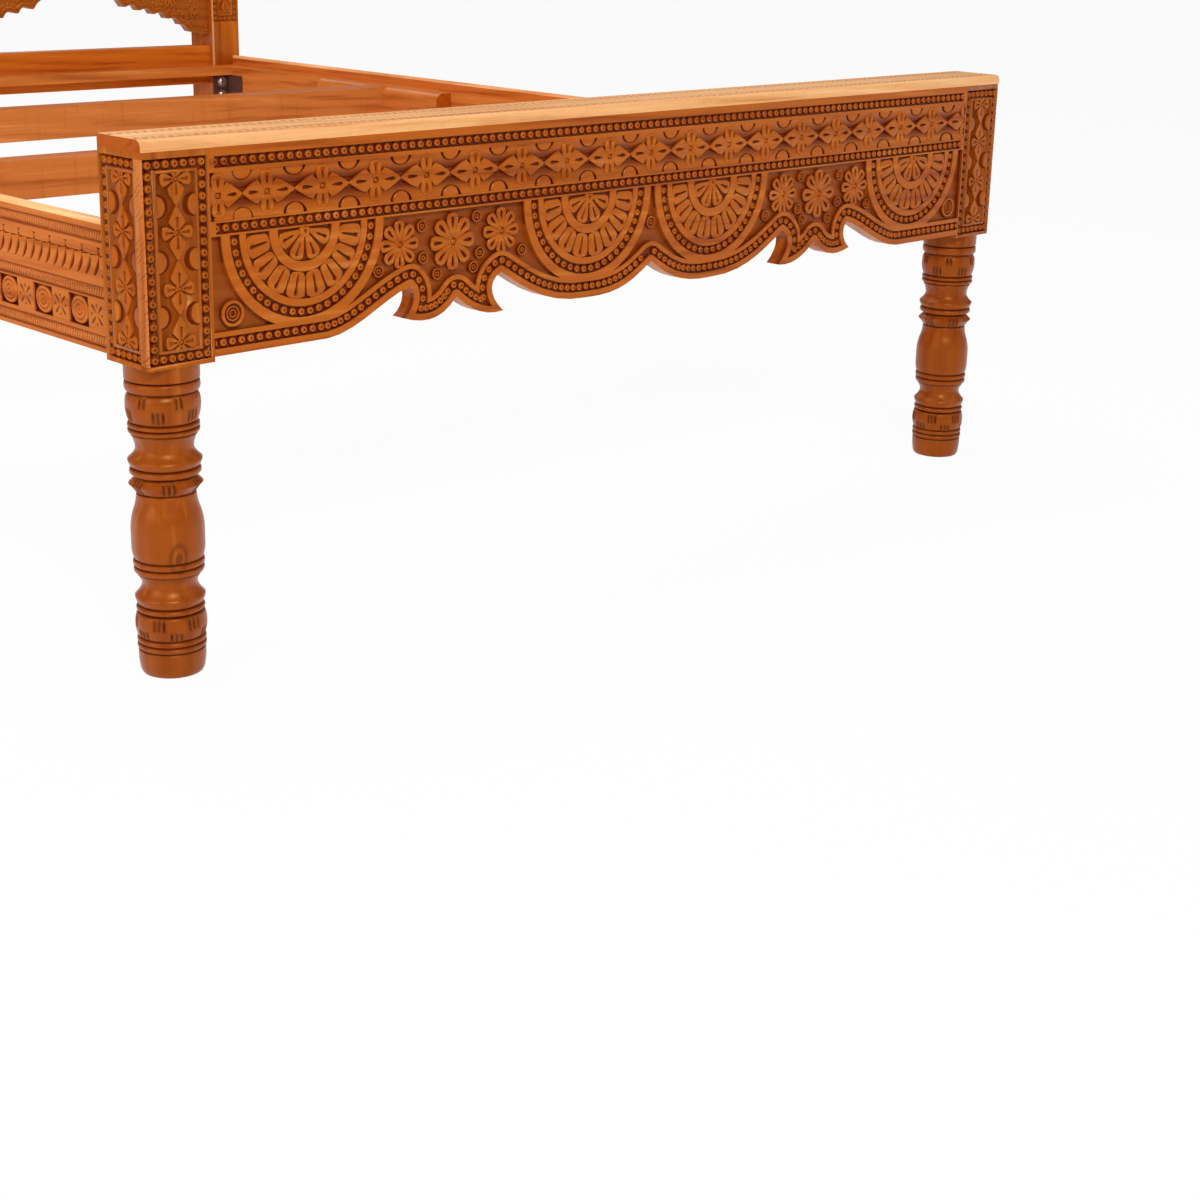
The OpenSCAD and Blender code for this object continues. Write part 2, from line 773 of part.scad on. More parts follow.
module cross_groove(z0, z1, slack) {
    y = y_board + panel_t / 2;
    t = tongue_t / 2 + slack;
    board(-head_x_in - over, head_x_in + over, y - t, y + t, z0, z1);
}

module upper_rail(z0, z1, tenon_z0, tenon_z1) {
    union() {
        board(-head_x_in, head_x_in, y_board, y_board + head_rail_t, z0, z1);
        both_sides() tenon(head_x_in, 1, y_board + head_rail_t / 2, tenon_z0, tenon_z1, tenon_l, 0);
    }
}

module head_mid_rail() {
    color(teak) difference() {
        upper_rail(mid_z, mid_top, mid_z + 12, mid_top - 12);
        cross_groove(mid_z - over, mid_z + groove_d, play);
        cross_groove(mid_top - groove_d, mid_top + over, play);
        both_sides() head_peg_set(0.2);
        centre_stub(mid_z, 1, play);
    }
}

module head_top_rail() {
    color(teak) difference() {
        upper_rail(top_z, head_post_h, top_z + 12, head_post_h - 14);
        cross_groove(top_z - over, top_z + groove_d, play);
        both_sides() head_peg_set(0.2);
        head_cap_dowel_set(0.2);
    }
}

module head_upper_panel() {
    y = y_board + panel_t / 2;
    reach = groove_d - play;
    color(teak) union() {
        board(-head_x_in, head_x_in, y_board + 4, y_board + panel_t - 2, mid_top, top_z);
        board(-head_x_in - reach, head_x_in + reach, y - tongue_t / 2, y + tongue_t / 2, mid_top, top_z);
        board(-head_x_in, head_x_in, y - tongue_t / 2, y + tongue_t / 2, mid_top - reach, top_z + reach);
    }
}

module head_cap() {
    color(teak_light) difference() {
        board(-head_x_out - head_cap_over, head_x_out + head_cap_over, y_head - head_cap_over, y_back,
            head_post_h, crest_z);
        head_cap_dowel_set(0.2);
        crest_dowel_set(0.2);
    }
}

module head_cap_dowel_set(slack) {
    l = dowel_deep + head_cap_t * 0.5;
    low = head_post_h - dowel_deep;
    both_sides() dowel_up((head_x_in + head_x_out) / 2 + 12, (y_head + y_back) / 2 - 10, low, l,
        dowel_d + slack);
    for (x = [-0.6, 0, 0.6])
        dowel_up(x * head_x_in, y_board + head_rail_t / 2, low, l, dowel_d + slack);
}

module head_cap_dowels() color(teak_dark) head_cap_dowel_set(0);

module crest_dowel_set(slack) {
    l = dowel_deep * 0.6 + head_cap_t * 0.4;
    for (x = [-0.45, -0.15, 0.15, 0.45])
        dowel_up(x * head_x_in, y_board + head_rail_t / 2, crest_z - head_cap_t * 0.4, l, dowel_d + slack);
}

module crest_dowels() color(teak_dark) crest_dowel_set(0);

module head_crest() {
    half = [for (p = crest_half()) [p[0] * crest_stretch, crest_z + p[1] * crest_h]];
    end = [[600 * crest_stretch, crest_z]];
    color(teak) difference() {
        upright(y_board + (head_rail_t - crest_t) / 2, crest_t)
            polygon(concat(half, end, mirrored(concat(half, end))));
        crest_dowel_set(0.2);
    }
}

// Angle bracket in the corner of the right rail and the post face at y, with the bed towards dir
module bracket(y, dir) {
    z = bolt_z - bracket_h / 2;
    translate([rail_x_in - bracket_a, dir > 0 ? y : y - bracket_t, z])
        cube([bracket_a, bracket_t, bracket_h]);
    translate([rail_x_in - bracket_t, dir > 0 ? y : y - bracket_b, z])
        cube([bracket_t, bracket_b, bracket_h]);
}

module foot_bracket() {
    color(dark_steel) difference() {
        bracket(y_foot_back, 1);
        foot_screw_set(0.2);
        screw_set(y_foot_back, 1, 0.2);
    }
}

module head_bracket() {
    color(dark_steel) difference() {
        bracket(y_head, -1);
        for (s = [-0.5, 0.5])
            dowel_back(bolt_x, y_head - 2 * bracket_t, bolt_z + s * bolt_pitch, 4 * bracket_t,
                bolt_d + 0.4);
        screw_set(y_head, -1, 0.2);
    }
}

module bracket_foot_left() mirror([1, 0, 0]) foot_bracket();

module bracket_foot_right() foot_bracket();

module bracket_head_left() mirror([1, 0, 0]) head_bracket();

module bracket_head_right() head_bracket();

// Countersunk screw along Z, with the top of its head at the origin
module screw(slack) {
    r = (screw_d + slack) / 2;
    rotate_extrude($fn = 32) polygon([[0, 0], [2 * r, 0], [r, r], [r, screw_l], [0, screw_l + r]]);
}

// Screws through the long leg of a bracket into the side rail
module screw_set(y, dir, slack) {
    for (s = [-0.5, 0.5])
        translate([rail_x_in - bracket_t, y + dir * screw_y, bolt_z + s * bolt_pitch]) rotate([0, 90, 0])
            screw(slack);
}

// Screws through the short leg of a foot bracket into the foot post
module foot_screw_set(slack) {
    for (s = [-0.5, 0.5])
        translate([foot_screw_x, y_foot_back + bracket_t, bolt_z + s * bolt_pitch]) rotate([90, 0, 0])
            screw(slack);
}

module bracket_screws() color(dark_steel) both_sides() {
    foot_screw_set(0);
    screw_set(y_foot_back, 1, 0);
    screw_set(y_head, -1, 0);
}

module bracket_bolts() color(bright_steel) both_sides()
    for (s = [-0.5, 0.5])
        translate([bolt_x, y_head - bracket_t - washer_t, bolt_z + s * bolt_pitch]) rotate([-90, 0, 0]) {
            cylinder(d = bolt_d, h = bolt_l, $fn = round_fn);
            translate([0, 0, -head_h]) cylinder(r = bolt_d * 0.86, h = head_h, $fn = 6);
        }

module bracket_washers() color(bright_steel) both_sides()
    for (s = [-0.5, 0.5])
        translate([bolt_x, y_head - bracket_t, bolt_z + s * bolt_pitch]) rotate([90, 0, 0])
            difference() {
                cylinder(d = washer_d, h = washer_t, $fn = round_fn);
                translate([0, 0, -over])
                    cylinder(d = bolt_d + 0.2, h = washer_t + 2 * over, $fn = round_fn);
            }

module foot_pegs() color(teak_dark) both_sides() foot_peg_set(0);

module head_pegs() color(teak_dark) both_sides() head_peg_set(0);

foot_post_left();
foot_post_right();
foot_rail();
foot_back_board();
foot_cap();
foot_ledge();
side_rail_left();
side_rail_right();
cross_beam_front();
cross_beam_rear();
beam_block_1();
beam_block_2();
beam_block_3();
beam_block_4();
beam_block_5();
beam_block_6();
beam_block_7();
beam_block_8();
beam_cleat_1();
beam_cleat_2();
beam_cleat_3();
beam_cleat_4();
head_post_left();
head_post_right();
head_centre_post();
head_bottom_board();
head_ledge();
arch_panel_left();
arch_panel_right();
head_mid_rail();
head_upper_panel();
head_top_rail();
head_cap();
head_crest();
bracket_foot_left();
bracket_foot_right();
bracket_head_left();
bracket_head_right();
bracket_bolts();
bracket_washers();
bracket_screws();
block_dowels();
ledge_dowels();
foot_cap_dowels();
head_cap_dowels();
crest_dowels();
foot_pegs();
head_pegs();
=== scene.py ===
import math

import bmesh
import bpy
from bpy.props import FloatProperty, FloatVectorProperty, IntProperty, PointerProperty
from mathutils import Matrix, Vector


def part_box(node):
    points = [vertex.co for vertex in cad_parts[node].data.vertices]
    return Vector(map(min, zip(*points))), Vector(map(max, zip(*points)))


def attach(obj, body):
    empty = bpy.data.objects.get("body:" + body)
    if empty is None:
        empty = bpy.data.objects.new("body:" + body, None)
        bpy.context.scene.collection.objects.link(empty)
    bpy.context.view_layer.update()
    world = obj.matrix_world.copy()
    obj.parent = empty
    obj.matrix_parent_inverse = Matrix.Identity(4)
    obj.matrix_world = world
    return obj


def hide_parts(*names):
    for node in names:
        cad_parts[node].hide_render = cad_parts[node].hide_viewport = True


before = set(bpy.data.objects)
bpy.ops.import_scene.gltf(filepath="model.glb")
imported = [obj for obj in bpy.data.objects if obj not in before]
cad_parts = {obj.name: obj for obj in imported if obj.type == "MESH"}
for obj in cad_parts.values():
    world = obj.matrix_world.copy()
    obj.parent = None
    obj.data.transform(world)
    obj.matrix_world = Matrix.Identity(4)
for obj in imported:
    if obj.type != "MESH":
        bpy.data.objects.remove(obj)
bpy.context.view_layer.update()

bl_info = {
    "name": "Carved Teak Bed",
    "version": (1, 0, 0),
    "blender": (4, 5, 0),
    "location": "View3D > Sidebar > Bed",
    "description": "Carves and finishes a teak bed with turned legs around its plain joinery",
    "category": "Object",
}

MM = 0.001


def box_mm(node):
    """Lowest and highest corner of a plain piece in millimetres."""
    low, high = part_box(node)
    return Vector(low) / MM, Vector(high) / MM


POST_LOW, POST_HIGH = box_mm("foot_post_right")
RAIL_LOW, RAIL_HIGH = box_mm("side_rail_right")
HEAD_LOW, HEAD_HIGH = box_mm("head_post_right")
PANEL_LOW, PANEL_HIGH = box_mm("arch_panel_right")
CREST_LOW, CREST_HIGH = box_mm("head_crest")
CAP_TOP = box_mm("foot_cap")[1].z

# Planes and heights that the carving is laid out on, in millimetres
Y_FRONT = POST_LOW.y
Y_FOOT_BACK = POST_HIGH.y
Y_HEAD = HEAD_LOW.y
Y_BOARD = PANEL_LOW.y
X_OUT = POST_HIGH.x
X_IN = POST_LOW.x
BLOCK_TOP = POST_HIGH.z
LEG_TOP = 386.0
APRON_Z = LEG_TOP + 4
RAIL_X = RAIL_HIGH.x
RAIL_TOP = RAIL_HIGH.z
HEAD_X_IN = HEAD_LOW.x
HEAD_X_OUT = HEAD_HIGH.x
HEAD_TOP = HEAD_HIGH.z
ARCH_Z = PANEL_LOW.z
POST_W = X_OUT - X_IN
HEAD_W = HEAD_X_OUT - HEAD_X_IN
SIDES = ((-1, "left"), (1, "right"))

# Rows of the front board
ROW_1_Z = BLOCK_TOP - 17
FRIEZE_TOP = BLOCK_TOP - 29
FRIEZE_BOTTOM = BLOCK_TOP - 85
FRIEZE_MID = BLOCK_TOP - 56
ROW_2_Z = BLOCK_TOP - 94
FAN_Z = BLOCK_TOP - 105
FAN_TOP = BLOCK_TOP - 103.5
FAN_X = (-601.5, -124.5, 124.5, 601.5)

# Lower edge of the front board, from its middle to the post, as curves over the flat edge
APRON_EDGE = (
    ((0, 37), (40, 10), (65, -2), (125, 0)),
    ((125, 0), (205, -2), (245, 30), (285, 53)),
    ((285, 53), (310, 42), (303, 20), (280.5, 1)),
    ((280.5, 1), (315, -4), (342, 12), (362, 30)),
    ((362, 30), (385, 2), (415, 0), (448, 11)),
    ((448, 11), (431, 22), (427, 42), (439, 52)),
    ((439, 52), (480, 42), (525, 4), (570, 2)),
    ((570, 2), (625, 2), (680, 2), (735, 2)),
)

# Upper edge of the crest, from its middle to its end, as shares of its height
CREST_EDGE = (
    ((0, 1), (40, 0.86), (70, 0.78), (130, 0.78)),
    ((130, 0.78), (215, 0.78), (250, 0.58), (292, 0.46)),
    ((292, 0.46), (318, 0.6), (345, 0.66), (385, 0.56)),
    ((385, 0.56), (455, 0.42), (520, 0.22), (600, 0.18)),
)

# Turning of the legs from the top down: height, cut below the full radius, bulge
UPPER_TURNING = (
    (19, 0, 0), (1, 2.5, 0), (1, 1, 0), (12, 1.5, 1.5), (2, 4.2, 0), (9, 0.4, 0.8), (27, 4.2, 1.7),
    (7, 3.4, 2), (7, 4, 1.8), (19, 10, -1.6), (13, 0.5, -1.6), (2, 0.5, 0), (8, 4.4, 0.4),
    (9, 4.4, 2.6), (1, 8.5, 0), (2, 8.5, 0), (8, 0.5, 0), (11, 9, -0.5), (3, 8.8, 0), (20, 4.4, -0.8),
    (25, 0.6, 1), (20, 0.6, 0),
)
LOWER_TURNING = (
    (15, 3.4, 0.6), (9, 3.8, 2), (9, 4.6, 2), (14, 11.5, -1.4), (15, 2.4, -1.6), (2, 2.4, 0),
    (9, 6, 0.3), (8, 6, 2.8), (1, 7, 0), (1, 4, 0), (30, 4.4, 2.8), (8, 4.2, 1.4), (8, 4.2, 1.4),
    (24, 5.4, 0.8), (7, 8, 0.5),
)
# Heights of the dark lines on a leg: painted shade in its turned grooves
LEG_LINES = (366, 352, 315, 308, 301, 259, 249, 228, 145, 136, 127, 87, 78, 47, 39, 31)
# Rows of gouge cuts on a leg: lowest and highest point, number in a group, turn as a share of a group
LEG_CUTS = (
    (335, 350, 2, 0.12),
    (318, 334, 3, 0.68),
    (229, 246, 3, 0.46),
    (60, 76, 3, 0.885),
    (48, 60, 3, 0.413),
)
CUT_GROUPS = 6
CUT_PITCH = 6.1
# Middle and reach of the knot on the near leg
KNOT = (-792.5, -1106.5, 153.0)
KNOT_REACH = (15.0, 60.0, 27.0)
# Share of the dark stain and painted shade at depths below a carved face, in millimetres: deeper hollows are
# darkened as if in shade
FRONT_STAIN_AND_SHADE = (
    (0.5, 0.0), (1.5, 0.12), (2.4, 0.5), (3.3, 0.92), (5.2, 0.92), (5.9, 0.6), (7.0, 0.58), (10.5, 0.5),
    (10.6, 0.0),
)
POST_STAIN_AND_SHADE = ((0.4, 0.0), (2.4, 0.16), (4.1, 0.26), (4.5, 0.95), (5.2, 0.92), (10.5, 0.5), (10.6, 0.0))
OUTER_STAIN_AND_SHADE = ((0.4, 0.0), (2.6, 0.08), (4.1, 0.14), (4.6, 0.45), (5.2, 0.45), (10.5, 0.3), (10.6, 0.0))
RAIL_STAIN_AND_SHADE = ((1.6, 0.0), (2.8, 0.8), (7.0, 0.8), (10.5, 0.6), (10.6, 0.0))
FLAT_STAIN_AND_SHADE = ((0.4, 0.0), (2.5, 0.35), (4.0, 0.5), (5.0, 0.5), (10.5, 0.3), (10.6, 0.0))
SOFT_STAIN_AND_SHADE = tuple((at, share * 0.55) for at, share in FLAT_STAIN_AND_SHADE)
STAIN_AND_SHADE_REACH = 12.0
# Dark lines of a side rail, below its top
RAIL_LINES = (13.6, 27.0, 82.1, 95.5, 142.3, 155.7)
# Heights between which the dark stain and painted shade is seen on a post and on a side rail
BLOCK = (APRON_Z + 0.6, HEAD_TOP - 0.5)
RAIL = (RAIL_LOW.z + 0.6, RAIL_TOP - 6.0)
# Depth at which the dark stain and painted shade is even, for the painted shade crescents laid in a cut
CUT_DEPTH = 4.8
# Spacing of what is repeated along the rails and the headboard
TILE_STEP = 37.5
TILE = 36
MEDALLION_STEP = 85
HEAD_STEP = 81.2
HEAD_FLOWER_STEP = 152
# Half width and depth of a line turned in a leg
LINE_CUT = 1.9
# Half width and depth of a gouge cut pressed into a leg
GOUGE_WIDTH = 2.4
GOUGE_DEPTH = 2.7
# Camera: place in metres, turns in radians, focal length and picture size in pixels
CAMERA_AT = (-2.053196, -3.073435, 0.922443)
YAW, PITCH, ROLL = 0.785, 0.286, 0.023
FOCAL = 2023.541
PICTURE_WIDTH = 1200
SHIFT_UP = -109.5
SENSOR = 36.0
# Edges sharper than this many degrees stay crisp
CRISP = 38.0
# Warm tint of the highlights on oiled wood
GLEAM = (1.0, 0.52, 0.2, 1.0)


def measure(name, description, default):
    """A length that can be changed."""
    return FloatProperty(name=name, description=description, default=default, unit="LENGTH")


def tint(name, description, *default):
    """A colour that can be changed."""
    return FloatVectorProperty(name=name, description=description, default=default, subtype="COLOR")


class BedSizes(bpy.types.PropertyGroup):
    """Sizes of the carving, in metres."""

    bead: measure("Bead", "Diameter of a bead", 0.0098)
    bead_pitch: measure("Bead pitch", "Spacing of the beads", 0.0134)
    flower_pitch: measure("Flower pitch", "Spacing of the frieze flowers", 0.0812)
    leg_steps: IntProperty(name="Leg steps", description="Steps round a turned leg", default=208, min=24)
    blades: IntProperty(name="Fan blades", description="Long petals of a fan", default=8, min=4)


class BedColours(bpy.types.PropertyGroup):
    """Colours of the finishes."""

    light: tint("Light teak", "Lightest streaks", 0.63, 0.20, 0.030)
    mid: tint("Teak", "Main wood colour", 0.46, 0.102, 0.007)
    dark: tint("Dark teak", "Dark streaks", 0.27, 0.038, 0.002)
    # Pale wood is sapwood and worn edges, and also the painted sheen on the cap and the painted highlight on
    # the rail tops
    pale_light: tint("Lightest pale wood", "Lightest streaks of pale wood", 0.90, 0.60, 0.34)
    pale: tint("Pale wood", "Sapwood and worn edges", 0.80, 0.41, 0.17)
    pale_dark: tint("Darkest pale wood", "Dark streaks of pale wood", 0.58, 0.20, 0.05)
    # The groove colour is laid in the hollows by depth, as dark stain and painted shade
    groove: tint("Groove", "Stain left in the cuts", 0.13, 0.011, 0.001)
    floor: tint("Floor", "Floor", 0.93, 0.93, 0.93)


def maths(operation):
    """A method of Sock that adds one Math node."""
    return lambda self, *others: self.math(operation, *others)


class Sock:
    """A shader value: expressions on it add the nodes that work them out."""

    def __init__(self, finish, out):
        self.finish = finish
        self.out = out

    def math(self, operation, *others, clamp=False):
        values = {f"i{k}": value for k, value in enumerate((self,) + others)}
        return self.finish.node("ShaderNodeMath", {"operation": operation, "use_clamp": clamp}, **values)

    __add__ = __radd__ = maths("ADD")
    __sub__ = maths("SUBTRACT")
    __mul__ = __rmul__ = maths("MULTIPLY")
    __truediv__ = maths("DIVIDE")
    __abs__ = maths("ABSOLUTE")
    below = maths("LESS_THAN")
    above = maths("GREATER_THAN")
    least = maths("MINIMUM")
    most = maths("MAXIMUM")

    def __rsub__(self, other):
        return self.math("MULTIPLY", -1.0) + other

    def clamp(self):
        return self.math("ADD", 0.0, clamp=True)


class Finish:
    """A material or a world that is being put together from nodes."""

    def __init__(self, owner):
        owner.use_nodes = True
        self.owner = owner
        self.tree = owner.node_tree
        self.tree.nodes.clear()

    def node(self, kind, settings=None, out=0, **sockets):
        made = self.tree.nodes.new(kind)
        for key, value in (settings or {}).items():
            if key == "stops":
                ramp = made.color_ramp
                while len(ramp.elements) < len(value):
                    ramp.elements.new(0.5)
                for element, (position, colour) in zip(ramp.elements, value):
                    element.position = position
                    element.color = colour
            else:
                setattr(made, key, value)
        for key, value in sockets.items():
            socket = made.inputs[int(key[1:]) if key[1:].isdigit() else key.replace("_", " ")]
            if isinstance(value, Sock):
                self.tree.links.new(value.out, socket)
            else:
                socket.default_value = value
        return Sock(self, made.outputs[out])

    def mix(self, factor, a, b):
        return self.node("ShaderNodeMix", {"data_type": "RGBA"}, out=2, i0=factor, i6=a, i7=b)

    def split(self, vector):
        """The three parts of a vector."""
        parts = self.node("ShaderNodeSeparateXYZ", Vector=vector)
        return [Sock(self, parts.out.node.outputs[k]) for k in range(3)]

    def place(self):
        """Position on the piece, and its three parts."""
        where = self.node("ShaderNodeTexCoord", out=3)
        return where, self.split(where)

    def normal(self):
        """Direction that the surface faces, as its three parts."""
        return self.split(self.node("ShaderNodeTexCoord", out=1))

    def noise(self, where, scale, detail=3.0, roughness=0.55, shift=0.0):
        moved = self.node("ShaderNodeMapping", Vector=where, Scale=scale, Location=(shift, shift, shift))
        return self.node("ShaderNodeTexNoise", Vector=moved, Scale=1.0, Detail=detail, Roughness=roughness)

    def surface(self, height, strength, distance, **values):
        """Ends the material in a Principled shader with a bump."""
        bump = self.node("ShaderNodeBump", Height=height, Strength=strength, Distance=distance)
        return self.end(self.node("ShaderNodeBsdfPrincipled", **values, Normal=bump))

    def end(self, shader, kind="ShaderNodeOutputMaterial"):
        last = self.tree.nodes.new(kind)
        self.tree.links.new(shader.out, last.inputs["Surface"])
        return self.owner


def rgba(colour):
    return (colour[0], colour[1], colour[2], 1.0)


def shaded(colour, by):
    return (colour[0] * by, colour[1] * by, colour[2] * by, 1.0)


def behind(y):
    """Depth below a carved face that looks to the front."""
    return lambda parts: parts[1] - y * MM


def below_post(parts):
    """Depth below the nearer carved face of a foot post."""
    return (parts[1] - Y_FRONT * MM).least(X_OUT * MM - abs(parts[0]))


def below_rail(parts):
    """Depth below the outer face of a side rail."""
    return RAIL_X * MM - abs(parts[0])


def in_cut(parts):
    """One depth all over."""
    return parts[2] * 0.0 + CUT_DEPTH * MM


def to_nearest(value, lines):
    """Distance from a value to the nearest of some lines."""
    nearest = abs(value - lines[0])
    for line in lines[1:]:
        nearest = nearest.least(abs(value - line))
    return nearest


def on_leg(parts):
    """Painted shade in the turned grooves of a leg, from 0 to 1."""
    return ((1.0 - to_nearest(parts[2] / MM, LEG_LINES) / 2.2) * 1.4).clamp()


def knot(parts):
    """Oval rings of a knot on the near leg, from 0 to 1."""
    x, y, z = ((part - at * MM) / (reach * MM) for part, at, reach in zip(parts, KNOT, KNOT_REACH))
    away = (x * x + y * y + z * z).math("SQRT")
    rings = (away * 12.0).math("SINE") * 0.5 + 0.5
    return (rings * ((1.0 - away) * 2.0).clamp() * 1.25).clamp()


def punches(finish, parts, where):
    """Rows of punch marks along the cap board, with zigzag lines between them."""
    across = parts[0] / MM + 2000.0
    along = parts[1] / MM - Y_FRONT
    mark = None
    for row, offset in ((12.0, 0.0), (24.0, 5.75), (66.0, 0.0), (78.0, 5.75)):
        step = (across + offset).math("MODULO", 11.5) - 5.75
        dot = ((1.0 - (abs(step) / 3.4).most(abs(along - row) / 2.0)) * 3.0).clamp()
        mark = dot if mark is None else mark.most(dot)
    for row in (18.0, 72.0):
        wave = abs(across.math("MODULO", 16.0) - 8.0) - 4.0
        mark = mark.most((1.5 - abs(along - row - wave)).clamp() * 0.7)
    return mark * parts[2].above((CAP_TOP - 1.0) * MM)


def saw_marks(finish, parts, where):
    """Faint upright marks that a saw left across a beam."""
    lines = finish.noise(where, (120.0, 9.0, 7.0), detail=2.0, shift=5.0)
    return ((lines - 0.55) * 4.0).clamp() * 0.22


def painted_top_highlight(finish, parts, where):
    """Painted highlight: pale wood along the lit top edge of a side rail, with a little pale wood all over
    it.
    """
    return ((parts[2] - (RAIL_TOP - 6.0) * MM) / 0.0012).clamp().most(0.11)


def band_lines(finish, parts, where):
    """Dark lines above and below each rope band of a side rail."""
    nearest = to_nearest(RAIL_TOP - parts[2] / MM, RAIL_LINES)
    return (1.7 - nearest).clamp() * below_rail(parts).below(3 * MM)


def notches(finish, parts, where):
    """Slanted dark notches down a worn corner."""
    slant = (parts[2] + parts[1] * 0.8) / MM
    sway = finish.noise(where, (60.0, 60.0, 60.0), detail=2.0, shift=9.0)
    wave = (slant * (math.tau / 7.4) + sway * 17.0).math("SINE")
    return ((wave - 0.35) * 2.5).clamp() * ((sway - 0.46) * 6.0).clamp() * 0.7


def inner_edge(finish, parts, where):
    """Pale worn edge of a head post beside the headboard."""
    side = abs(parts[0]).below((HEAD_X_IN + 3.2) * MM) * parts[1].below((Y_HEAD + 5) * MM)
    return side * parts[2].above(LEG_TOP * MM) * 0.8


def teak(name, axis, depth=None, stain_and_shade=FRONT_STAIN_AND_SHADE, pale=0.0, tone=1.0, leg=False, edge=False,
         marks=None, heights=(0.0, 2000.0), shine=0.4):
    """Oiled teak whose grain runs along an axis, with dark stain and painted shade below a carved face."""
    colours = bpy.context.scene.bed_colours
    finish = Finish(bpy.data.materials.new(name))
    where, parts = finish.place()

    def stretched(long, cross):
        return tuple(long if letter == axis else cross for letter in "XYZ")

    grain = finish.noise(where, stretched(7.0, 190.0), detail=5.0, roughness=0.6)
    figure = finish.noise(where, stretched(1.6, 17.0), detail=2.5, shift=3.1)
    pores = finish.noise(where, stretched(60.0, 1100.0), detail=2.0, roughness=0.7, shift=7.7)
    patch = finish.noise(where, (4.5, 4.5, 4.5), detail=3.0, shift=1.3)
    banded = finish.node("ShaderNodeMapping", Vector=where, Scale=stretched(1.4, 26.0))
    rings = finish.node(
        "ShaderNodeTexWave", {"wave_type": "BANDS", "bands_direction": "DIAGONAL"}, out=1,
        Vector=banded, Scale=1.0, Distortion=7.0, Detail=2.0, Detail_Scale=0.8,
    )
    blend = grain * 0.42 + figure * 0.48 + rings * 0.16 + patch * 0.24 - 0.15

    def streaked(dark, mid, light):
        stops = (
            (0.28, shaded(dark, tone)),
            (0.46, shaded(mid, tone)),
            (0.58, shaded(mid, tone * 1.06)),
            (0.76, shaded(light, tone)),
        )
        return finish.node("ShaderNodeValToRGB", {"stops": stops}, Fac=blend)

    wood = streaked(colours.dark, colours.mid, colours.light)
    if pale:
        amount = pale(finish, parts, where) if callable(pale) else pale
        wood = finish.mix(amount, wood, streaked(colours.pale_dark, colours.pale, colours.pale_light))
    streak = ((pores - 0.58) * 5.0).clamp() * 0.35
    wood = finish.mix(streak, wood, shaded(colours.dark, tone))
    height = grain * 0.5 - streak * 0.8
    faces = finish.normal() if depth is None or edge else None
    if depth is None:
        end = ((abs(faces["XYZ".index(axis)]) - 0.8) * 8.0).clamp() * 0.6
        wood = finish.mix(end * 1.6, wood, streaked(colours.dark, colours.mid, colours.mid))
        wood = finish.mix(end * 0.8, wood, shaded(colours.dark, 1.3))
    else:
        # Painted shade and stain: the deeper a point lies below the carved face, the more groove colour it
        # gets
        stops = [(at / STAIN_AND_SHADE_REACH, (share, share, share, 1.0)) for at, share in stain_and_shade]
        amount = finish.node(
            "ShaderNodeValToRGB", {"stops": stops}, Fac=(depth(parts) / (STAIN_AND_SHADE_REACH * MM)).clamp()
        )
        if edge:
            amount = amount * (1.0 - faces[2].below(-0.25) * abs(faces[1]).below(0.2))
        low, high = heights
        amount = amount * parts[2].above(low * MM) * parts[2].below(high * MM)
        wood = finish.mix((amount * (0.82 + patch * 0.34)).clamp(), wood, rgba(colours.groove))
    if leg:
        cut = finish.node("ShaderNodeAttribute", {"attribute_name": "cut"}, out=2)
        on_turning = parts[2].below(LEG_TOP * MM) * 0.55
        wood = finish.mix(on_turning, wood, streaked(colours.dark, colours.dark, colours.mid))
        wood = finish.mix(knot(parts) * 0.7, wood, shaded(colours.dark, 0.45))
        # Painted shade: dark in the turned grooves and in the gouge cuts of a leg
        wood = finish.mix((on_leg(parts) * 0.75).most(cut.clamp() * 0.85), wood, shaded(colours.dark, 0.4))
    if marks is not None:
        mark = marks(finish, parts, where)
        wood = finish.mix(mark * 0.85, wood, shaded(colours.dark, 0.9))
        height = height - mark * 0.3
    return finish.surface(
        height, 0.35, 0.0006, Base_Color=wood, Roughness=(0.22 + grain * 0.2), IOR=1.5,
        Specular_IOR_Level=shine, Specular_Tint=GLEAM,
    )


def worn_steel(name, colour, rust, metallic, roughness):
    """Metal of the fittings, mottled by handling and rust."""
    finish = Finish(bpy.data.materials.new(name))
    where, _ = finish.place()
    mottle = finish.noise(where, (160.0, 160.0, 160.0), detail=4.0)
    fine = finish.noise(where, (900.0, 900.0, 900.0), detail=2.0, shift=2.0)
    spots = ((mottle - 0.5) * 4.0).clamp()
    body = finish.mix(spots, rgba(colour), rgba(rust))
    return finish.surface(
        fine, 0.25, 0.0004, Base_Color=body, Metallic=metallic, Roughness=roughness + mottle * 0.25
    )


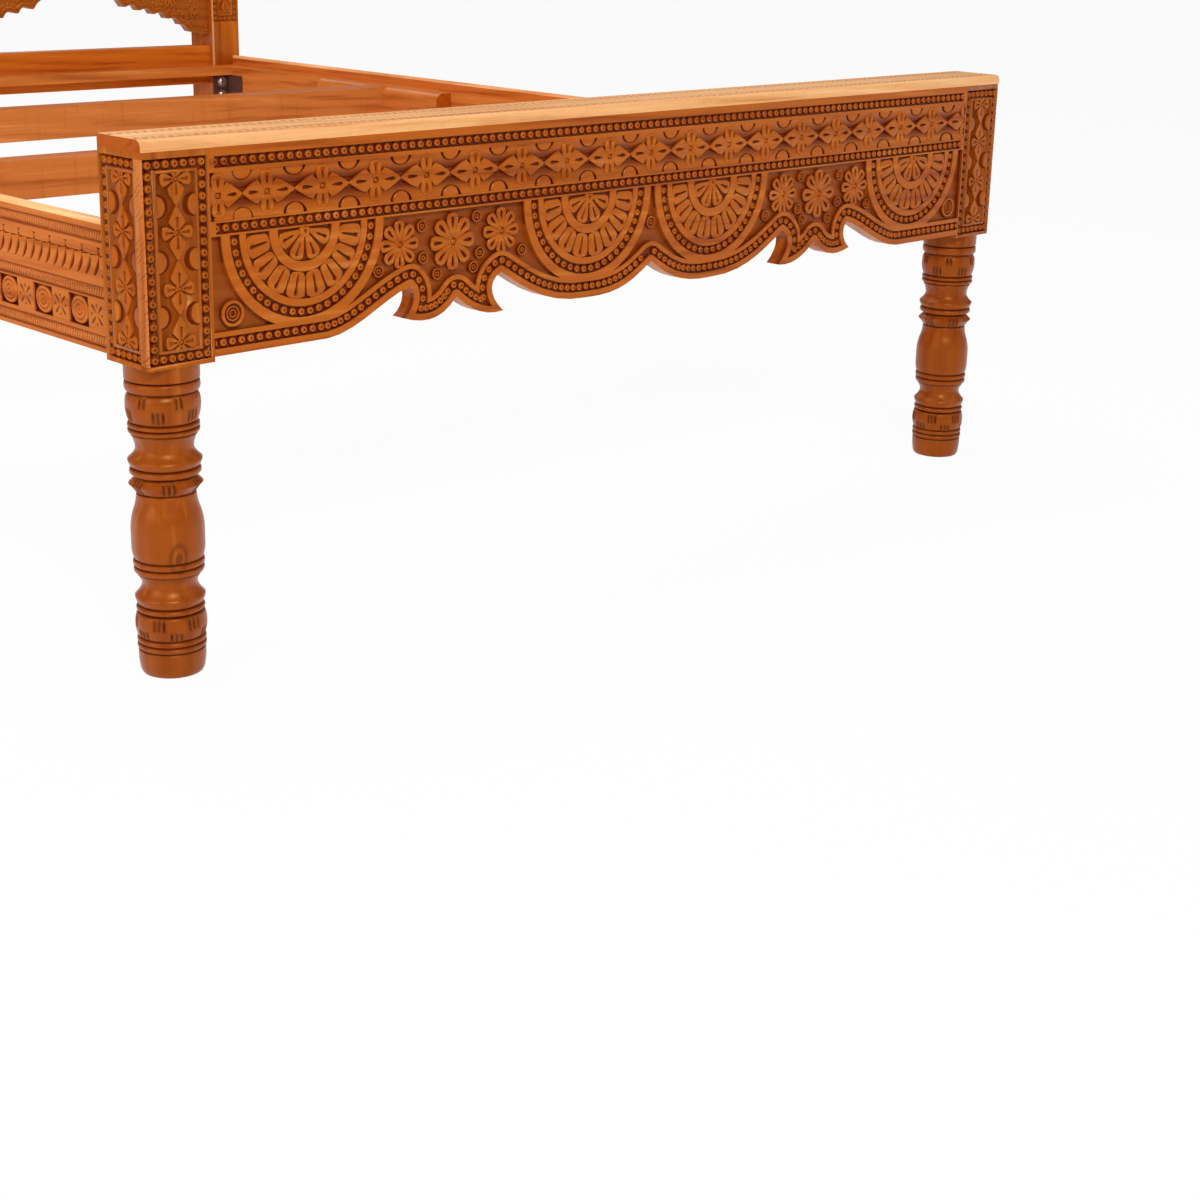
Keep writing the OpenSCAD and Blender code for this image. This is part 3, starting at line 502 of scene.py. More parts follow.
# Teak finishes: name of the material, run of the grain, and how it differs from plain oiled teak
TEAKS = {
    "board_x": ("Teak along X", "X", dict(tone=1.3)),
    "board_z": ("Teak along Z", "Z", {}),
    "plain_x": ("Plain teak along X", "X", dict(pale=0.1, tone=1.15)),
    "plain_y": ("Plain teak along Y", "Y", dict(pale=0.1, tone=1.15)),
    "beam": ("Sawn teak", "X", dict(pale=0.14, tone=1.2, marks=saw_marks)),
    "front": ("Carved front teak", "X", dict(depth=behind(Y_FRONT), tone=0.95)),
    "front_board": ("Carved front board teak", "X", dict(depth=behind(Y_FRONT), edge=True)),
    "post": ("Carved post teak", "Z", dict(
        depth=below_post, stain_and_shade=POST_STAIN_AND_SHADE, tone=0.86, leg=True, heights=BLOCK, shine=0.5)),
    "outer": ("Carved outer post teak", "Z", dict(
        depth=below_post, stain_and_shade=OUTER_STAIN_AND_SHADE, leg=True, shine=0.08)),
    "worn": ("Worn post corner teak", "Z", dict(pale=0.2, tone=1.1, marks=notches, shine=0.04)),
    "rail": ("Carved rail teak", "Y", dict(
        depth=below_rail, stain_and_shade=RAIL_STAIN_AND_SHADE, pale=painted_top_highlight, tone=1.27, marks=band_lines, heights=RAIL,
        shine=0.04)),
    "rope": ("Rail rope teak", "Y", dict(
        depth=below_rail, stain_and_shade=RAIL_STAIN_AND_SHADE, pale=0.2, tone=1.15, shine=0.05)),
    "head_post": ("Carved head post teak", "Z", dict(
        depth=behind(Y_HEAD), stain_and_shade=SOFT_STAIN_AND_SHADE, pale=inner_edge, tone=1.08, leg=True, heights=BLOCK,
        shine=0.2)),
    # Painted shade: the arch panel is darker, as it stands in shade behind its carving
    "arch": ("Arch panel teak", "X", dict(tone=0.8)),
    "panel": ("Carved panel teak", "X", dict(depth=behind(Y_BOARD), tone=0.95)),
    "upper": ("Carved upper panel teak", "X", dict(depth=behind(Y_BOARD + 0.5))),
    "crest": ("Carved crest teak", "X", dict(depth=behind(CREST_LOW.y - 3.4))),
    # Painted sheen: the cap is nearly all pale wood, for the glossy light on its top
    "cap": ("Cap teak", "X", dict(pale=0.96, tone=1.14, marks=punches, shine=0.04)),
    "end": ("Dowel teak", "Y", dict(tone=0.6)),
    # Painted shade for the dark crescents beside the half moons of the posts
    "mark": ("Painted crescent shade", "Y", dict(depth=in_cut, shine=0.05)),
    # Painted shade: the raised gouge and dot marks of a rail are darker, as shaded cuts
    "gouge_shade": ("Rail gouge shade", "Y", dict(tone=0.5, shine=0.05)),
}
# Steel finishes: name of the material, colour, rust, metallic share and roughness
STEELS = {
    "iron": ("Dark bracket steel", (0.11, 0.04, 0.028), (0.19, 0.055, 0.025), 0.6, 0.45),
    "zinc": ("Zinc bolt steel", (0.66, 0.63, 0.60), (0.42, 0.33, 0.27), 1.0, 0.24),
}
FINISHES = {}


def finish_of(name):
    """The finished material of that name, made when it is first asked for."""
    if name not in FINISHES:
        if name in STEELS:
            FINISHES[name] = worn_steel(*STEELS[name])
        else:
            label, axis, more = TEAKS[name]
            FINISHES[name] = teak(label, axis, **more)
    return FINISHES[name]


def paint(thing, finish):
    """Gives a piece one material."""
    thing.data.materials.clear()
    thing.data.materials.append(finish_of(finish))


def mesh_from(bm, name):
    """Closes a bmesh as a mesh."""
    bmesh.ops.recalc_face_normals(bm, faces=bm.faces)
    mesh = bpy.data.meshes.new(name)
    bm.to_mesh(mesh)
    bm.free()
    return mesh


def wrapped(name, loops, closed=False):
    """A skin drawn through loops of points. A loop that is one repeated point closes an end."""
    count = len(loops[0])
    rows = len(loops)
    spans = rows if closed else rows - 1
    bm = bmesh.new()
    bmesh.ops.create_grid(bm, x_segments=count, y_segments=spans, size=1)
    for vert in bm.verts:
        i = round((vert.co.x + 1) / 2 * count) % count
        j = round((vert.co.y + 1) / 2 * spans) % rows
        vert.co = loops[j][i]
    bmesh.ops.remove_doubles(bm, verts=bm.verts, dist=1e-4)
    return mesh_from(bm, name)


def plugged(loops, first, last):
    """Loops with each end closed by one repeated point."""
    count = len(loops[0])
    return [[first] * count] + loops + [[last] * count]


def turned(name, profile, steps):
    """A shape of revolution about the local Z axis, from points of radius and height."""
    bm = bmesh.new()
    verts = [bm.verts.new((radius, 0, height)) for radius, height in profile]
    edges = [bm.edges.new(pair) for pair in zip(verts, verts[1:])]
    bmesh.ops.spin(
        bm, geom=verts + edges, cent=(0, 0, 0), axis=(0, 0, 1), angle=math.tau, steps=steps, use_merge=True
    )
    bmesh.ops.remove_doubles(bm, verts=bm.verts, dist=1e-4)
    return mesh_from(bm, name)


def blunt(s):
    """Half width of a petal that is narrow at its root and round at its end."""
    return s ** 0.7 * math.sqrt(max(0.0, 1 - s ** 5)) * 1.12


def leaf(s):
    """Half width of a leaf that is widest near its root and pointed at its end."""
    return math.sin(math.pi * s ** 0.8) ** 0.9


def lens(s):
    """Half width of a leaf with two like points."""
    return math.sin(math.pi * s)


def kite(s):
    """Half width of a leaf with round shoulders that narrows straight to its point."""
    if s < 0.36:
        return 0.3 + 0.7 * math.sin(math.pi / 2 * s / 0.36) ** 1.5
    return 1 - 0.94 * (s - 0.36) / 0.64


def tongue(s):
    """Half width of a waisted tongue."""
    return 1 - 0.42 * math.sin(math.pi * s ** 1.2) ** 1.1


def widening(root, gain, roundness, rise=0, wide=1.0):
    """Half width of a petal that widens evenly from its root to a round end."""
    def form(s):
        shoulder = min(1.0, s * rise) ** 0.5 if rise else 1.0
        return (root + gain * s) * shoulder * math.sqrt(max(0.0, 1 - s ** roundness)) * wide
    return form


def pin(s):
    """Half width of a thin gouge that ends in a round dot."""
    shaft = (0.4 + 0.25 * s) * min(1.0, s * 6)
    return (shaft + 0.4 * math.exp(-((s - 0.88) / 0.1) ** 2)) * math.sqrt(max(0.0, 1 - s ** 16))


def slab(s):
    """Half width of a strip with square ends."""
    return min(1.0, s * 30, (1 - s) * 30)


def petal(name, length, width, height, form, slot=None, half=6, base=-1.0, bend=0.0, squeeze=0.84, cut=blunt,
          ends=(0.05, 0.96)):
    """A flat topped petal along X with rounded edges. slot is the start, end and half width of its gouge."""

    def outline(form, narrow, start, end, wide, z):
        loop = []
        for i in range(2 * half):
            k = i if i <= half else 2 * half - i
            s = (1 - math.cos(math.pi * k / half)) / 2
            side = 1 if i <= half else -1
            along = start + (end - start) * s
            loop.append((along * length, side * form(s) * wide * narrow + bend * along * along, z))
        return loop

    wide = width / 2
    soft = min(0.9, height * 0.25)
    loops = [
        [(length * 0.5, bend * 0.25, base)] * (2 * half),
        outline(form, 1.0, 0, 1, wide, base),
        outline(form, 1.0, 0, 1, wide, height - soft),
        outline(form, squeeze, *ends, wide, height),
    ]
    if slot:
        start, end, broad = slot
        loops.append(outline(cut, 1.0, start, end, broad * 1.25, height - 0.1))
        loops.append(outline(cut, 0.6, start + 0.03, end - 0.02, broad * 1.25, height - 3.6))
        loops.append([((start + end) / 2 * length, 0, height - 3.8)] * (2 * half))
    else:
        loops.append([(length * 0.5, bend * 0.25, height + 0.05)] * (2 * half))
    return wrapped(name, loops)


def mound(name, wide, deep, hole, high, low, steps=14):
    """Ground that falls from the edge of a band at y = 0 to a round tip, with a round hollow in it."""
    loops = []
    for k in range(steps + 1):
        angle = math.pi * k / steps
        across, down = math.cos(angle), -math.sin(angle)
        rows = []
        for share, drop in ((0.0, -9), (0.0, 0.7), (0.12, 0.0), (0.85, 0.2), (1.0, 1.2), (1.0, -9)):
            x = (hole * 1.12 + (wide - hole * 1.12) * share) * across
            y = (hole + (deep - hole) * share) * down
            level = high + (low - high) * min(1.0, -y / deep)
            rows.append((x, y, -1.0 if drop < 0 else max(level - drop, -0.4)))
        loops.append(rows)
    ends = [tuple(sum(p[n] for p in rows) / 6 for n in range(3)) for rows in (loops[0], loops[-1])]
    return wrapped(name, plugged(loops, *ends))


def ridge(name, path, width, height, base=-1.0, closed=False, taper=False):
    """A rounded strip that follows a path of (u, v) points."""
    loops = []
    last = len(path) - 1
    for k, (u, v) in enumerate(path):
        before = path[k - 1] if k or closed else path[0]
        after = path[(k + 1) % len(path)] if k < last or closed else path[last]
        along = Vector((after[0] - before[0], after[1] - before[1])).normalized()
        across = Vector((-along.y, along.x))
        half = width / 2 * (math.sin(math.pi * (0.08 + 0.84 * k / last)) if taper else 1.0)
        loops.append([
            (u + across.x * half * a, v + across.y * half * a, z)
            for a, z in ((-1, base), (-0.85, height * 0.65), (-0.4, height), (0.4, height),
                         (0.85, height * 0.65), (1, base))
        ])
    if not closed:
        loops = plugged(loops, (*path[0], 0.0), (*path[last], 0.0))
    return wrapped(name, loops, closed)


def arc(u, v, radius, start, end, steps):
    """Points of an arc, with its angles in degrees."""
    angles = [math.radians(start + (end - start) * k / steps) for k in range(steps + 1)]
    return [(u + radius * math.cos(a), v + radius * math.sin(a)) for a in angles]


def bezier(a, b, c, d, steps):
    """Points of a cubic curve after its first one."""
    points = []
    for k in range(1, steps + 1):
        t = k / steps
        s = 1 - t
        weights = (s ** 3, 3 * s * s * t, 3 * s * t * t, t ** 3)
        points.append(tuple(sum(w * p[n] for w, p in zip(weights, (a, b, c, d))) for n in (0, 1)))
    return points


def drawn(curves, steps, across=1.0, up=1.0, low=0.0):
    """Points of an outline from its middle to its end."""
    points = [curves[0][0]]
    for curve in curves:
        points.extend(bezier(*curve, steps))
    return [(x * across, low + y * up) for x, y in points]


def inset(outline, distance, side=1):
    """The line that keeps a distance from an outline, on its left as it is drawn, or on its right."""
    dense = []
    for a, b in zip(outline, outline[1:]):
        run = Vector((b[0] - a[0], b[1] - a[1]))
        normal = Vector((-run.y, run.x)).normalized() * side
        dense.append((Vector(a), normal))
        dense.append(((Vector(a) + Vector(b)) / 2, normal))
        dense.append((Vector(b), normal))
    fanned = [dense[0]]
    for (p, n), (q, m) in zip(dense, dense[1:]):
        if (p - q).length < 1e-6 and n.dot(m) < 0.98:
            for k in range(1, 9):
                fanned.append((q, n.lerp(m, k / 9).normalized()))
        fanned.append((q, m))
    marks = [p for p, _ in dense]
    kept = []
    for p, n in fanned:
        spot = p + n * distance
        if min((spot - mark).length for mark in marks) > distance - 0.35:
            if not kept or (spot - kept[-1]).length > 0.4:
                kept.append(spot)
    return [tuple(spot) for spot in kept]


def paced(path, pitch, start=0.0):
    """Points at equal steps along a path, with the direction there."""
    points = []
    need = start
    for a, b in zip(path, path[1:]):
        run = Vector((b[0] - a[0], b[1] - a[1]))
        while need <= run.length:
            spot = Vector(a) + run.normalized() * need
            points.append((spot.x, spot.y, math.atan2(run.y, run.x)))
            need += pitch
        need -= run.length
    return points


def face(u_axis, v_axis, origin):
    """Matrix from a carving's own millimetres to the bed. Its third axis points out of the wood."""
    u = Vector(u_axis)
    v = Vector(v_axis)
    out = u.cross(v)
    turn = Matrix((u, v, out)).transposed().to_4x4()
    return Matrix.Translation(Vector(origin) * MM) @ turn @ Matrix.Scale(MM, 4)


def front_face(y):
    """A face that looks to the front."""
    return face((1, 0, 0), (0, 0, 1), (0, y, 0))


def side_face(x):
    """The outer face on the right for x above 0, or on the left."""
    sign = 1 if x > 0 else -1
    return face((0, sign, 0), (0, 0, 1), (x, 0, 0))


def cut_off(bm, spot, normal):
    """Cuts away what lies past a plane, and closes the cut."""
    bmesh.ops.bisect_plane(
        bm, geom=bm.verts[:] + bm.edges[:] + bm.faces[:], plane_co=spot, plane_no=normal, clear_outer=True
    )
    bmesh.ops.holes_fill(bm, edges=[edge for edge in bm.edges if edge.is_boundary])


def crescent(name, steps=12):
    """A flat crescent round a half moon at the edge of a band, laid dark as painted shade."""
    path = []
    for k in range(steps + 1):
        angle = math.radians(-172 + 164 * k / steps)
        swell = math.sin(math.pi * k / steps) ** 1.1
        inner = (12.4 * math.cos(angle), 12.0 * math.sin(angle))
        outer = ((12.9 + 5.0 * swell) * math.cos(angle), (12.5 + 5.0 * swell) * math.sin(angle))
        path.append([(*inner, -0.4), (*inner, 0.3), (*outer, 0.3), (*outer, -0.4)])
    return wrapped(name, plugged(path, path[0][0], path[-1][0]))


class Carving:
    """Carved shapes gathered on one face of the wood."""

    def __init__(self):
        self.bm = bmesh.new()

    def put(self, shape, u=0.0, v=0.0, h=0.0, turn=0.0, size=1.0, stretch=1.0, tall=1.0):
        copy = shape.copy()
        copy.transform(
            Matrix.Translation((u, v, h)) @ Matrix.Rotation(turn, 4, "Z")
            @ Matrix.Diagonal((size * stretch, size, tall, 1))
        )
        self.bm.from_mesh(copy)
        bpy.data.meshes.remove(copy)

    def clip(self, low, high, axis=0):
        """Cuts away what lies past two limits along an axis."""
        along = Vector([float(n == axis) for n in range(3)])
        cut_off(self.bm, along * low, -along)
        cut_off(self.bm, along * high, along)

    def done(self, name, where, finish):
        """Lays the carving on its face and makes it a piece."""
        bmesh.ops.transform(self.bm, matrix=where, verts=self.bm.verts)
        return piece(mesh_from(self.bm, name), name, finish)


def piece(mesh, name, finish):
    """Puts a finished mesh in the scene as part of the bed."""
    for polygon in mesh.polygons:
        polygon.use_smooth = True
    mesh.set_sharp_from_angle(angle=math.radians(CRISP))
    thing = bpy.data.objects.new(name, mesh)
    bpy.context.scene.collection.objects.link(thing)
    paint(thing, finish)
    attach(thing, "root")
    return thing


# Turned studs: steps round, then radius and height from the foot of the rim in to the middle.
# The radii of the bead are shares of its own.
STUDS = {
    "bead": (9, (
        (1, -1), (1, 2.4), (0.9, 3.8), (0.68, 4.8), (0.46, 5.1), (0.33, 4.9), (0.24, 2.0), (0, 1.9))),
    "eye": (14, (
        (6.4, -1), (6.4, 5.4), (5.6, 6.2), (4.9, 6.2), (4.2, 3.0), (3.6, 3.0), (2.9, 5.4), (1.8, 6.4),
        (1.0, 6.3), (0.7, 3.4), (0, 3.4))),
    "moon": (24, ((11.6, -1), (11.6, 4.2), (10.4, 5.4), (6, 5.7), (0, 5.8))),
    "boss": (14, (
        (8.4, -1), (8.4, 3.5), (7.4, 5.4), (6.0, 5.6), (5.0, 2.8), (4.2, 2.8), (3.2, 5.2), (1.8, 5.4),
        (1.0, 2.8), (0, 2.8))),
    "rosette": (28, (
        (16.5, -1), (16.5, 4.5), (15.2, 6.4), (12.6, 6.4), (11.2, 3.0), (10.0, 3.0), (9.0, 5.6), (7.6, 5.6),
        (6.6, 2.8), (5.8, 2.8), (4.9, 5.2), (3.6, 5.2), (2.7, 2.8), (0, 4.2))),
    "oval": (26, (
        (17.5, -1), (17.3, 4.0), (15.6, 6.2), (13.4, 6.7), (12.3, 4.8), (11.3, 4.8), (10.2, 6.6), (7.6, 6.9),
        (6.6, 4.9), (5.7, 4.9), (4.6, 6.8), (2.4, 7.0), (1.4, 4.9), (0, 4.9))),
    "dot": (7, ((1.5, -0.4), (1.5, 0.35), (0, 0.4))),
}
# Petals and gouges: length, width, height and form, gouge if there is one, and how else they differ
PETALS = {
    "petal": (
        (28, 20.0, 6.3, widening(0.15, 0.95, 4.5, wide=1.16), (0.36, 0.86, 2.5)), dict(squeeze=0.88)),
    "up": (
        (22.5, 21.0, 6.4, widening(0.62, 0.5, 4, 12), (0.24, 0.86, 3.4)),
        dict(half=8, squeeze=0.9, cut=pin)),
    "arm": ((19, 20.5, 5.6, blunt, (0.1, 0.78, 2.6)), dict(half=8, squeeze=0.9, cut=pin)),
    "kite": ((37, 30, 5.9, kite, (0.26, 0.74, 2.6)), dict(half=8, squeeze=0.93)),
    "spire": ((37, 27, 5.7, kite, (0.06, 0.56, 2.9)), dict(half=8, squeeze=0.92, cut=pin)),
    "side": ((34, 22, 5.5, leaf, (0.08, 0.72, 1.8)), {}),
    "blade": (
        (33.6, 32.0, 4.0, widening(0.6, 0.4, 10, 14), (0.06, 0.9, 2.8)),
        dict(half=8, squeeze=0.93, cut=pin)),
    "small_blade": (
        (32, 26.5, 4.0, widening(0.18, 0.82, 8), (0.3, 0.88, 2.5)), dict(half=8, squeeze=0.92, cut=pin)),
    "ray": ((32.5, 11.8, 4.0, blunt, (0.55, 0.9, 1.5)), {}),
    "tongue_left": ((30, 18.9, 2.9, tongue), dict(bend=-15, squeeze=0.94)),
    "tongue_right": ((30, 18.9, 2.9, tongue), dict(bend=15, squeeze=0.94)),
    "tile": ((TILE, 9.4, 2.9, slab), dict(squeeze=0.94, ends=(0.008, 0.992))),
    "twist": ((10.5, 4.4, 1.35, lens), dict(half=3, base=-0.4)),
    "gouge": ((14, 4.6, 0.35, blunt), dict(half=4, base=-0.4)),
}
SHAPES = {}


def stud(name):
    """A low turned shape, such as a bead or an eye."""
    steps, rim = STUDS[name]
    size = bpy.context.scene.bed_sizes.bead / MM / 2 if name == "bead" else 1.0
    return turned(name, [(0, rim[0][1])] + [(size * radius, height) for radius, height in rim], steps)


def shape(name):
    """A carved shape that is used many times, made when it is first asked for."""
    if name not in SHAPES:
        if name in PETALS:
            sizes, more = PETALS[name]
            SHAPES[name] = petal(name, *sizes, **more)
        elif name == "mound":
            SHAPES[name] = mound(name, 40, 23, 12.9, 6.0, 2.0)
        elif name == "crescent":
            SHAPES[name] = crescent(name)
        else:
            SHAPES[name] = stud(name)
    return SHAPES[name]


def bead_line(work, path, pitch, start=0.0, u=0.0, v=0.0, h=0.0, size=1.0):
    """Beads at even steps along a path that is moved by (u, v)."""
    for across, up, _ in paced(path, pitch, start):
        work.put(shape("bead"), u + across, v + up, h, size=size)


def even_line(work, a, b, h=0.0, pitch=None, ends=True, kind="bead"):
    """A row of beads that fits a straight stretch exactly."""
    pitch = pitch or bpy.context.scene.bed_sizes.bead_pitch / MM
    run = Vector((b[0] - a[0], b[1] - a[1]))
    count = max(1, round(run.length / pitch))
    for k in range(0 if ends else 1, count + 1 if ends else count):
        work.put(shape(kind), a[0] + run.x * k / count, a[1] + run.y * k / count, h)


def bead_frame(work, u0, u1, v0, v1, h=0.0, sides=(True, True)):
    """A border of beads round a field. sides tells which of its two columns are there."""
    even_line(work, (u0, v0), (u1, v0), h, 12.0)
    even_line(work, (u0, v1), (u1, v1), h, 12.0)
    for u, there in zip((u0, u1), sides):
        if there:
            even_line(work, (u, v0), (u, v1), h, ends=False)


def daisy(work, u, v, radius, h=0.0, petals=8, turn=0.0):
    """A flower of like petals round an eye."""
    size = radius / 31
    for k in range(petals):
        a = turn + math.tau * (k + 0.5) / petals
        work.put(shape("petal"), u + 4 * size * math.cos(a), v + 4 * size * math.sin(a), h, a, size)
    work.put(shape("eye"), u, v, h + 1.2, size=size)


def half_circle(work, kind, u, v, radius, count, h, start=180, outward=True):
    """Like shapes at even angles round half a circle that starts at an angle in degrees."""
    for k in range(count):
        a = math.radians(start + 180 * (k + 0.5) / count)
        work.put(shape(kind), u + radius * math.cos(a), v + radius * math.sin(a), h, a if outward else 0.0)


def fan(work, u, v):
    """A half rosette that hangs from a line: bead arc, long blades, small blades and a large bead at the
    middle.
    """
    half_circle(work, "bead", u, v, 101.3, 24, 2.0, outward=False)
    half_circle(work, "blade", u, v, 52.2, bpy.context.scene.bed_sizes.blades, 3.0)
    half_circle(work, "small_blade", u, v, 7.5, 4, 3.0)
    work.put(shape("bead"), u, v - 3, 3.2, size=1.7)


def strew(work, flowers, studs, u=0.0, v=0.0, h=0.0, stud_h=0.0, size=1.0, turn=0.0):
    """Flowers and studs in mirrored pairs on both sides of an upright line through (u, v)."""
    for sign in (-1, 1):
        for across, up, radius in flowers:
            daisy(work, u + sign * across, v + up, radius, h, turn=turn)
        for kind, spots in studs.items():
            for across, up in spots:
                work.put(shape(kind), u + sign * across, v + up, stud_h, size=size)


def chain(work, centres, middle, upright, half, kinds, size=1.0, tall=1.0, h=0.0):
    """Four petalled flowers whose long leaves meet, with half moons at both edges of the band between them.

    kinds names the long leaf, the cross petal and the ground round a half moon.
    """
    long, cross, ground = kinds

    def put(kind, along, across, turn, **more):
        u, v = (middle - across, along) if upright else (along, middle + across)
        turn += math.pi / 2 if upright else 0.0
        work.put(shape(kind), u, v, more.pop("h", h), turn, tall=tall, **more)

    usual = abs(centres[1] - centres[0])
    moon = size * (1.14 if upright else 1.0)
    for k, centre in enumerate(centres):
        for sign in (-1, 1):
            there = 0 <= k + sign < len(centres)
            gap = abs(centres[k + sign] - centre) if there else usual
            start = 3.6 * size
            put(long, centre + sign * start, 0, 0 if sign > 0 else math.pi,
                size=size, stretch=(gap / 2 - start) / (37 * size))
            put(cross, centre, sign * 3.4 * size, sign * math.pi / 2,
                size=size * (1.0 if cross == "up" else 1.12))
        put("eye", centre, 0, 0, size=size * 0.9, h=h - 0.2)
    for a, b in zip(centres, centres[1:]):
        for sign in (-1, 1):
            turn = 0 if sign > 0 else math.pi
            if ground:
                put(ground, (a + b) / 2, sign * (half + 0.8), turn, size=size, stretch=(b - a) / usual)
            put("moon", (a + b) / 2, sign * half, turn, size=moon, stretch=1.12)


def shades(work, centres, middle, half, size):
    """Painted shade: dark crescents round the half moons of an upright chain, where the cuts fall in shadow.
    """
    for a, b in zip(centres, centres[1:]):
        for sign in (-1, 1):
            turn = math.pi / 2 if sign > 0 else -math.pi / 2
            u, v = middle - sign * half, (a + b) / 2
            work.put(shape("crescent"), u, v, -4.0, turn, size=size, stretch=1.1)


def whole(half):
    """Both halves of an outline, drawn from the left to the right."""
    return [(-x, y) for x, y in reversed(half)] + list(half[1:])


def carve_post(kind, tail, where, finish, middle, width, low, high, centres, half, size, tall, edges,
               bead_h=-5.0, sides=(True, True)):
    """Frames one face of a post with beads, and fills it with a chain of flowers."""
    work = Carving()
    reach = width / 2 - 9.25
    bead_frame(work, middle - reach, middle + reach, low + 11.75, high - 14.75, bead_h, sides)
    work.clip(*edges)
    work.done(f"{kind}_beads_{tail}", where, finish)
    work = Carving()
    chain(work, centres, middle, True, half, ("spire", "arm", None), size, tall, -4.0)
    work.clip(middle - (half - 0.1), middle + (half - 0.1))
    work.clip(low + 21.6, high - 24.6, axis=1)
    work.done(f"{kind}_carving_{tail}", where, finish)


class BED_OT_front(bpy.types.Operator):
    """Carves the footboard"""

    bl_idname = "bed.front"
    bl_label = "Carve footboard"

    def execute(self, context):
        edge = drawn(APRON_EDGE, 16, low=APRON_Z)
        work = Carving()
        for v in (ROW_1_Z, ROW_2_Z):
            even_line(work, (-X_IN + 8, v), (X_IN - 8, v))
        half = [(u, v) for u, v in inset(edge, 15.2) if u >= 0]
        bead_line(work, half, 13.0)
        bead_line(work, [(-u, v) for u, v in half], 13.0, start=13.0)
        work.clip(-X_IN + 2, X_IN - 2)
        work.done("footboard_beads", front_face(Y_FRONT + 5), "front")

        work = Carving()
        pitch = context.scene.bed_sizes.flower_pitch / MM
        places = [-723.7] + [k * pitch - 5.5 for k in range(-8, 9)] + [733.0]
        chain(work, places, FRIEZE_MID, False, 28.0, ("kite", "up", "mound"))
        work.clip(-X_IN + 0.6, X_IN - 0.6)
        work.clip(FRIEZE_BOTTOM, FRIEZE_TOP, axis=1)
        work.done("footboard_frieze", front_face(Y_FRONT + 6), "front")

        work = Carving()
        for u in FAN_X:
            fan(work, u, FAN_Z)
        work.clip(APRON_Z - 10, FAN_TOP, axis=1)
        work.done("footboard_fans", front_face(Y_FRONT + 7), "front")

        work = Carving()
        flowers = ((455, 496, 30), (367.5, 491.5, 36), (284, 497.5, 30))
        bosses = (
            (418, 515.6), (326, 520), (488.5, 465.5), (416, 475), (320.5, 472), (393, 452), (331.4, 454.5),
            (246, 468.4),
        )
        strew(work, flowers, {"boss": bosses, "rosette": ((707, 440),)}, turn=math.pi / 8)
        work.put(shape("boss"), 0, 482, size=1.1)
        work.done("footboard_flowers", front_face(Y_FRONT + 7), "front")
        return {"FINISHED"}


def lathe_profile(radius, cut):
    """Points of a leg's outline from the top down, with a groove at each turned line."""
    spots = []
    top = LEG_TOP
    last = 0.0
    for height, deep, bulge in UPPER_TURNING + LOWER_TURNING:
        steps = max(2, round(height / 2.2)) if height > 3 else 1
        marks = {k / steps for k in range(1, steps + 1)}
        for line in LEG_LINES:
            for side in (-LINE_CUT, -0.9, 0, 0.9, LINE_CUT):
                marks.add((top - line + side) / height)
        for u in sorted(mark for mark in marks if 0 < mark <= 1):
            z = top - height * u
            near = min(abs(z - line) for line in LEG_LINES)
            groove = LINE_CUT * max(0.0, 1 - near / LINE_CUT)
            depth = last + (deep - last) * u - bulge * 4 * u * (1 - u) + groove
            spots.append((radius - cut * depth, z))
        top -= height
        last = deep
    points = [(radius, LEG_TOP)]
    for radius_here, z in spots:
        if points[-1][1] - z > 0.12 or abs(points[-1][0] - radius_here) > 0.5:
            points.append((radius_here, z))
    return points


def leg_mesh(radius, cut):
    """A turned leg about the Z axis, as a mesh in millimetres."""
    profile = [(0, LEG_TOP + 1), (radius, LEG_TOP + 1)] + lathe_profile(radius, cut)
    profile.append((0, profile[-1][1]))
    return turned("leg", profile, bpy.context.scene.bed_sizes.leg_steps)


def gouge_legs(bm, x, y):
    """Presses the gouge cuts into a leg about (x, y), and marks how deep each point lies in them."""
    layer = bm.verts.layers.float.new("cut")
    side = -1 if x > 0 else 1
    for vert in bm.verts:
        height = vert.co.z / MM
        out = Vector((vert.co.x / MM - x, vert.co.y / MM - y))
        reach = out.length
        if height > LEG_TOP or reach < 20:
            continue
        angle = math.atan2(out.y, out.x * side)
        for low, high, number, turn in LEG_CUTS:
            if low < height < high:
                spot = (angle / math.tau * CUT_GROUPS + turn) % 1.0 - 0.5
                across = spot * math.tau * reach / CUT_GROUPS
                nearest = min(abs(across - (k - (number - 1) / 2) * CUT_PITCH) for k in range(number))
                ends = min(1.0, (height - low) / 2.0, (high - height) / 2.0)
                share = max(0.0, 1 - nearest / GOUGE_WIDTH) * ends
                # The cut share, raised and clamped, also sets the painted shade in the gouge
                vert[layer] = min(1.0, share * 2.4)
                vert.co.x -= out.x / reach * GOUGE_DEPTH * share * MM
                vert.co.y -= out.y / reach * GOUGE_DEPTH * share * MM


def dressed_post(node, radius, cut, worn):
    """A post of the plain model with its block cut back at the worn corner and a finely turned leg."""
    low, high = box_mm(node)
    x, y = (low.x + high.x) / 2, (low.y + high.y) / 2
    bm = bmesh.new()
    bm.from_mesh(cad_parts[node].data)
    bmesh.ops.remove_doubles(bm, verts=bm.verts, dist=1e-6)
    cuts = [((0, 0, (LEG_TOP + 0.001) * MM), (0, 0, -1))]
    if worn:
        sign = -1 if low.x < 0 else 1
        corner = (sign * (X_OUT - 1.65) * MM, (Y_FRONT + 3.1) * MM, 0)
        cuts.append((corner, Vector((sign * 0.871, -0.49, 0)).normalized()))
    for spot, normal in cuts:
        cut_off(bm, spot, normal)
    leg = leg_mesh(radius, cut)
    leg.transform(Matrix.Translation((x * MM, y * MM, 0)) @ Matrix.Scale(MM, 4))
    bm.from_mesh(leg)
    bpy.data.meshes.remove(leg)
    gouge_legs(bm, x, y)
    thing = piece(mesh_from(bm, node + "_dressed"), node + "_dressed", "post" if worn else "head_post")
    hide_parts(node)


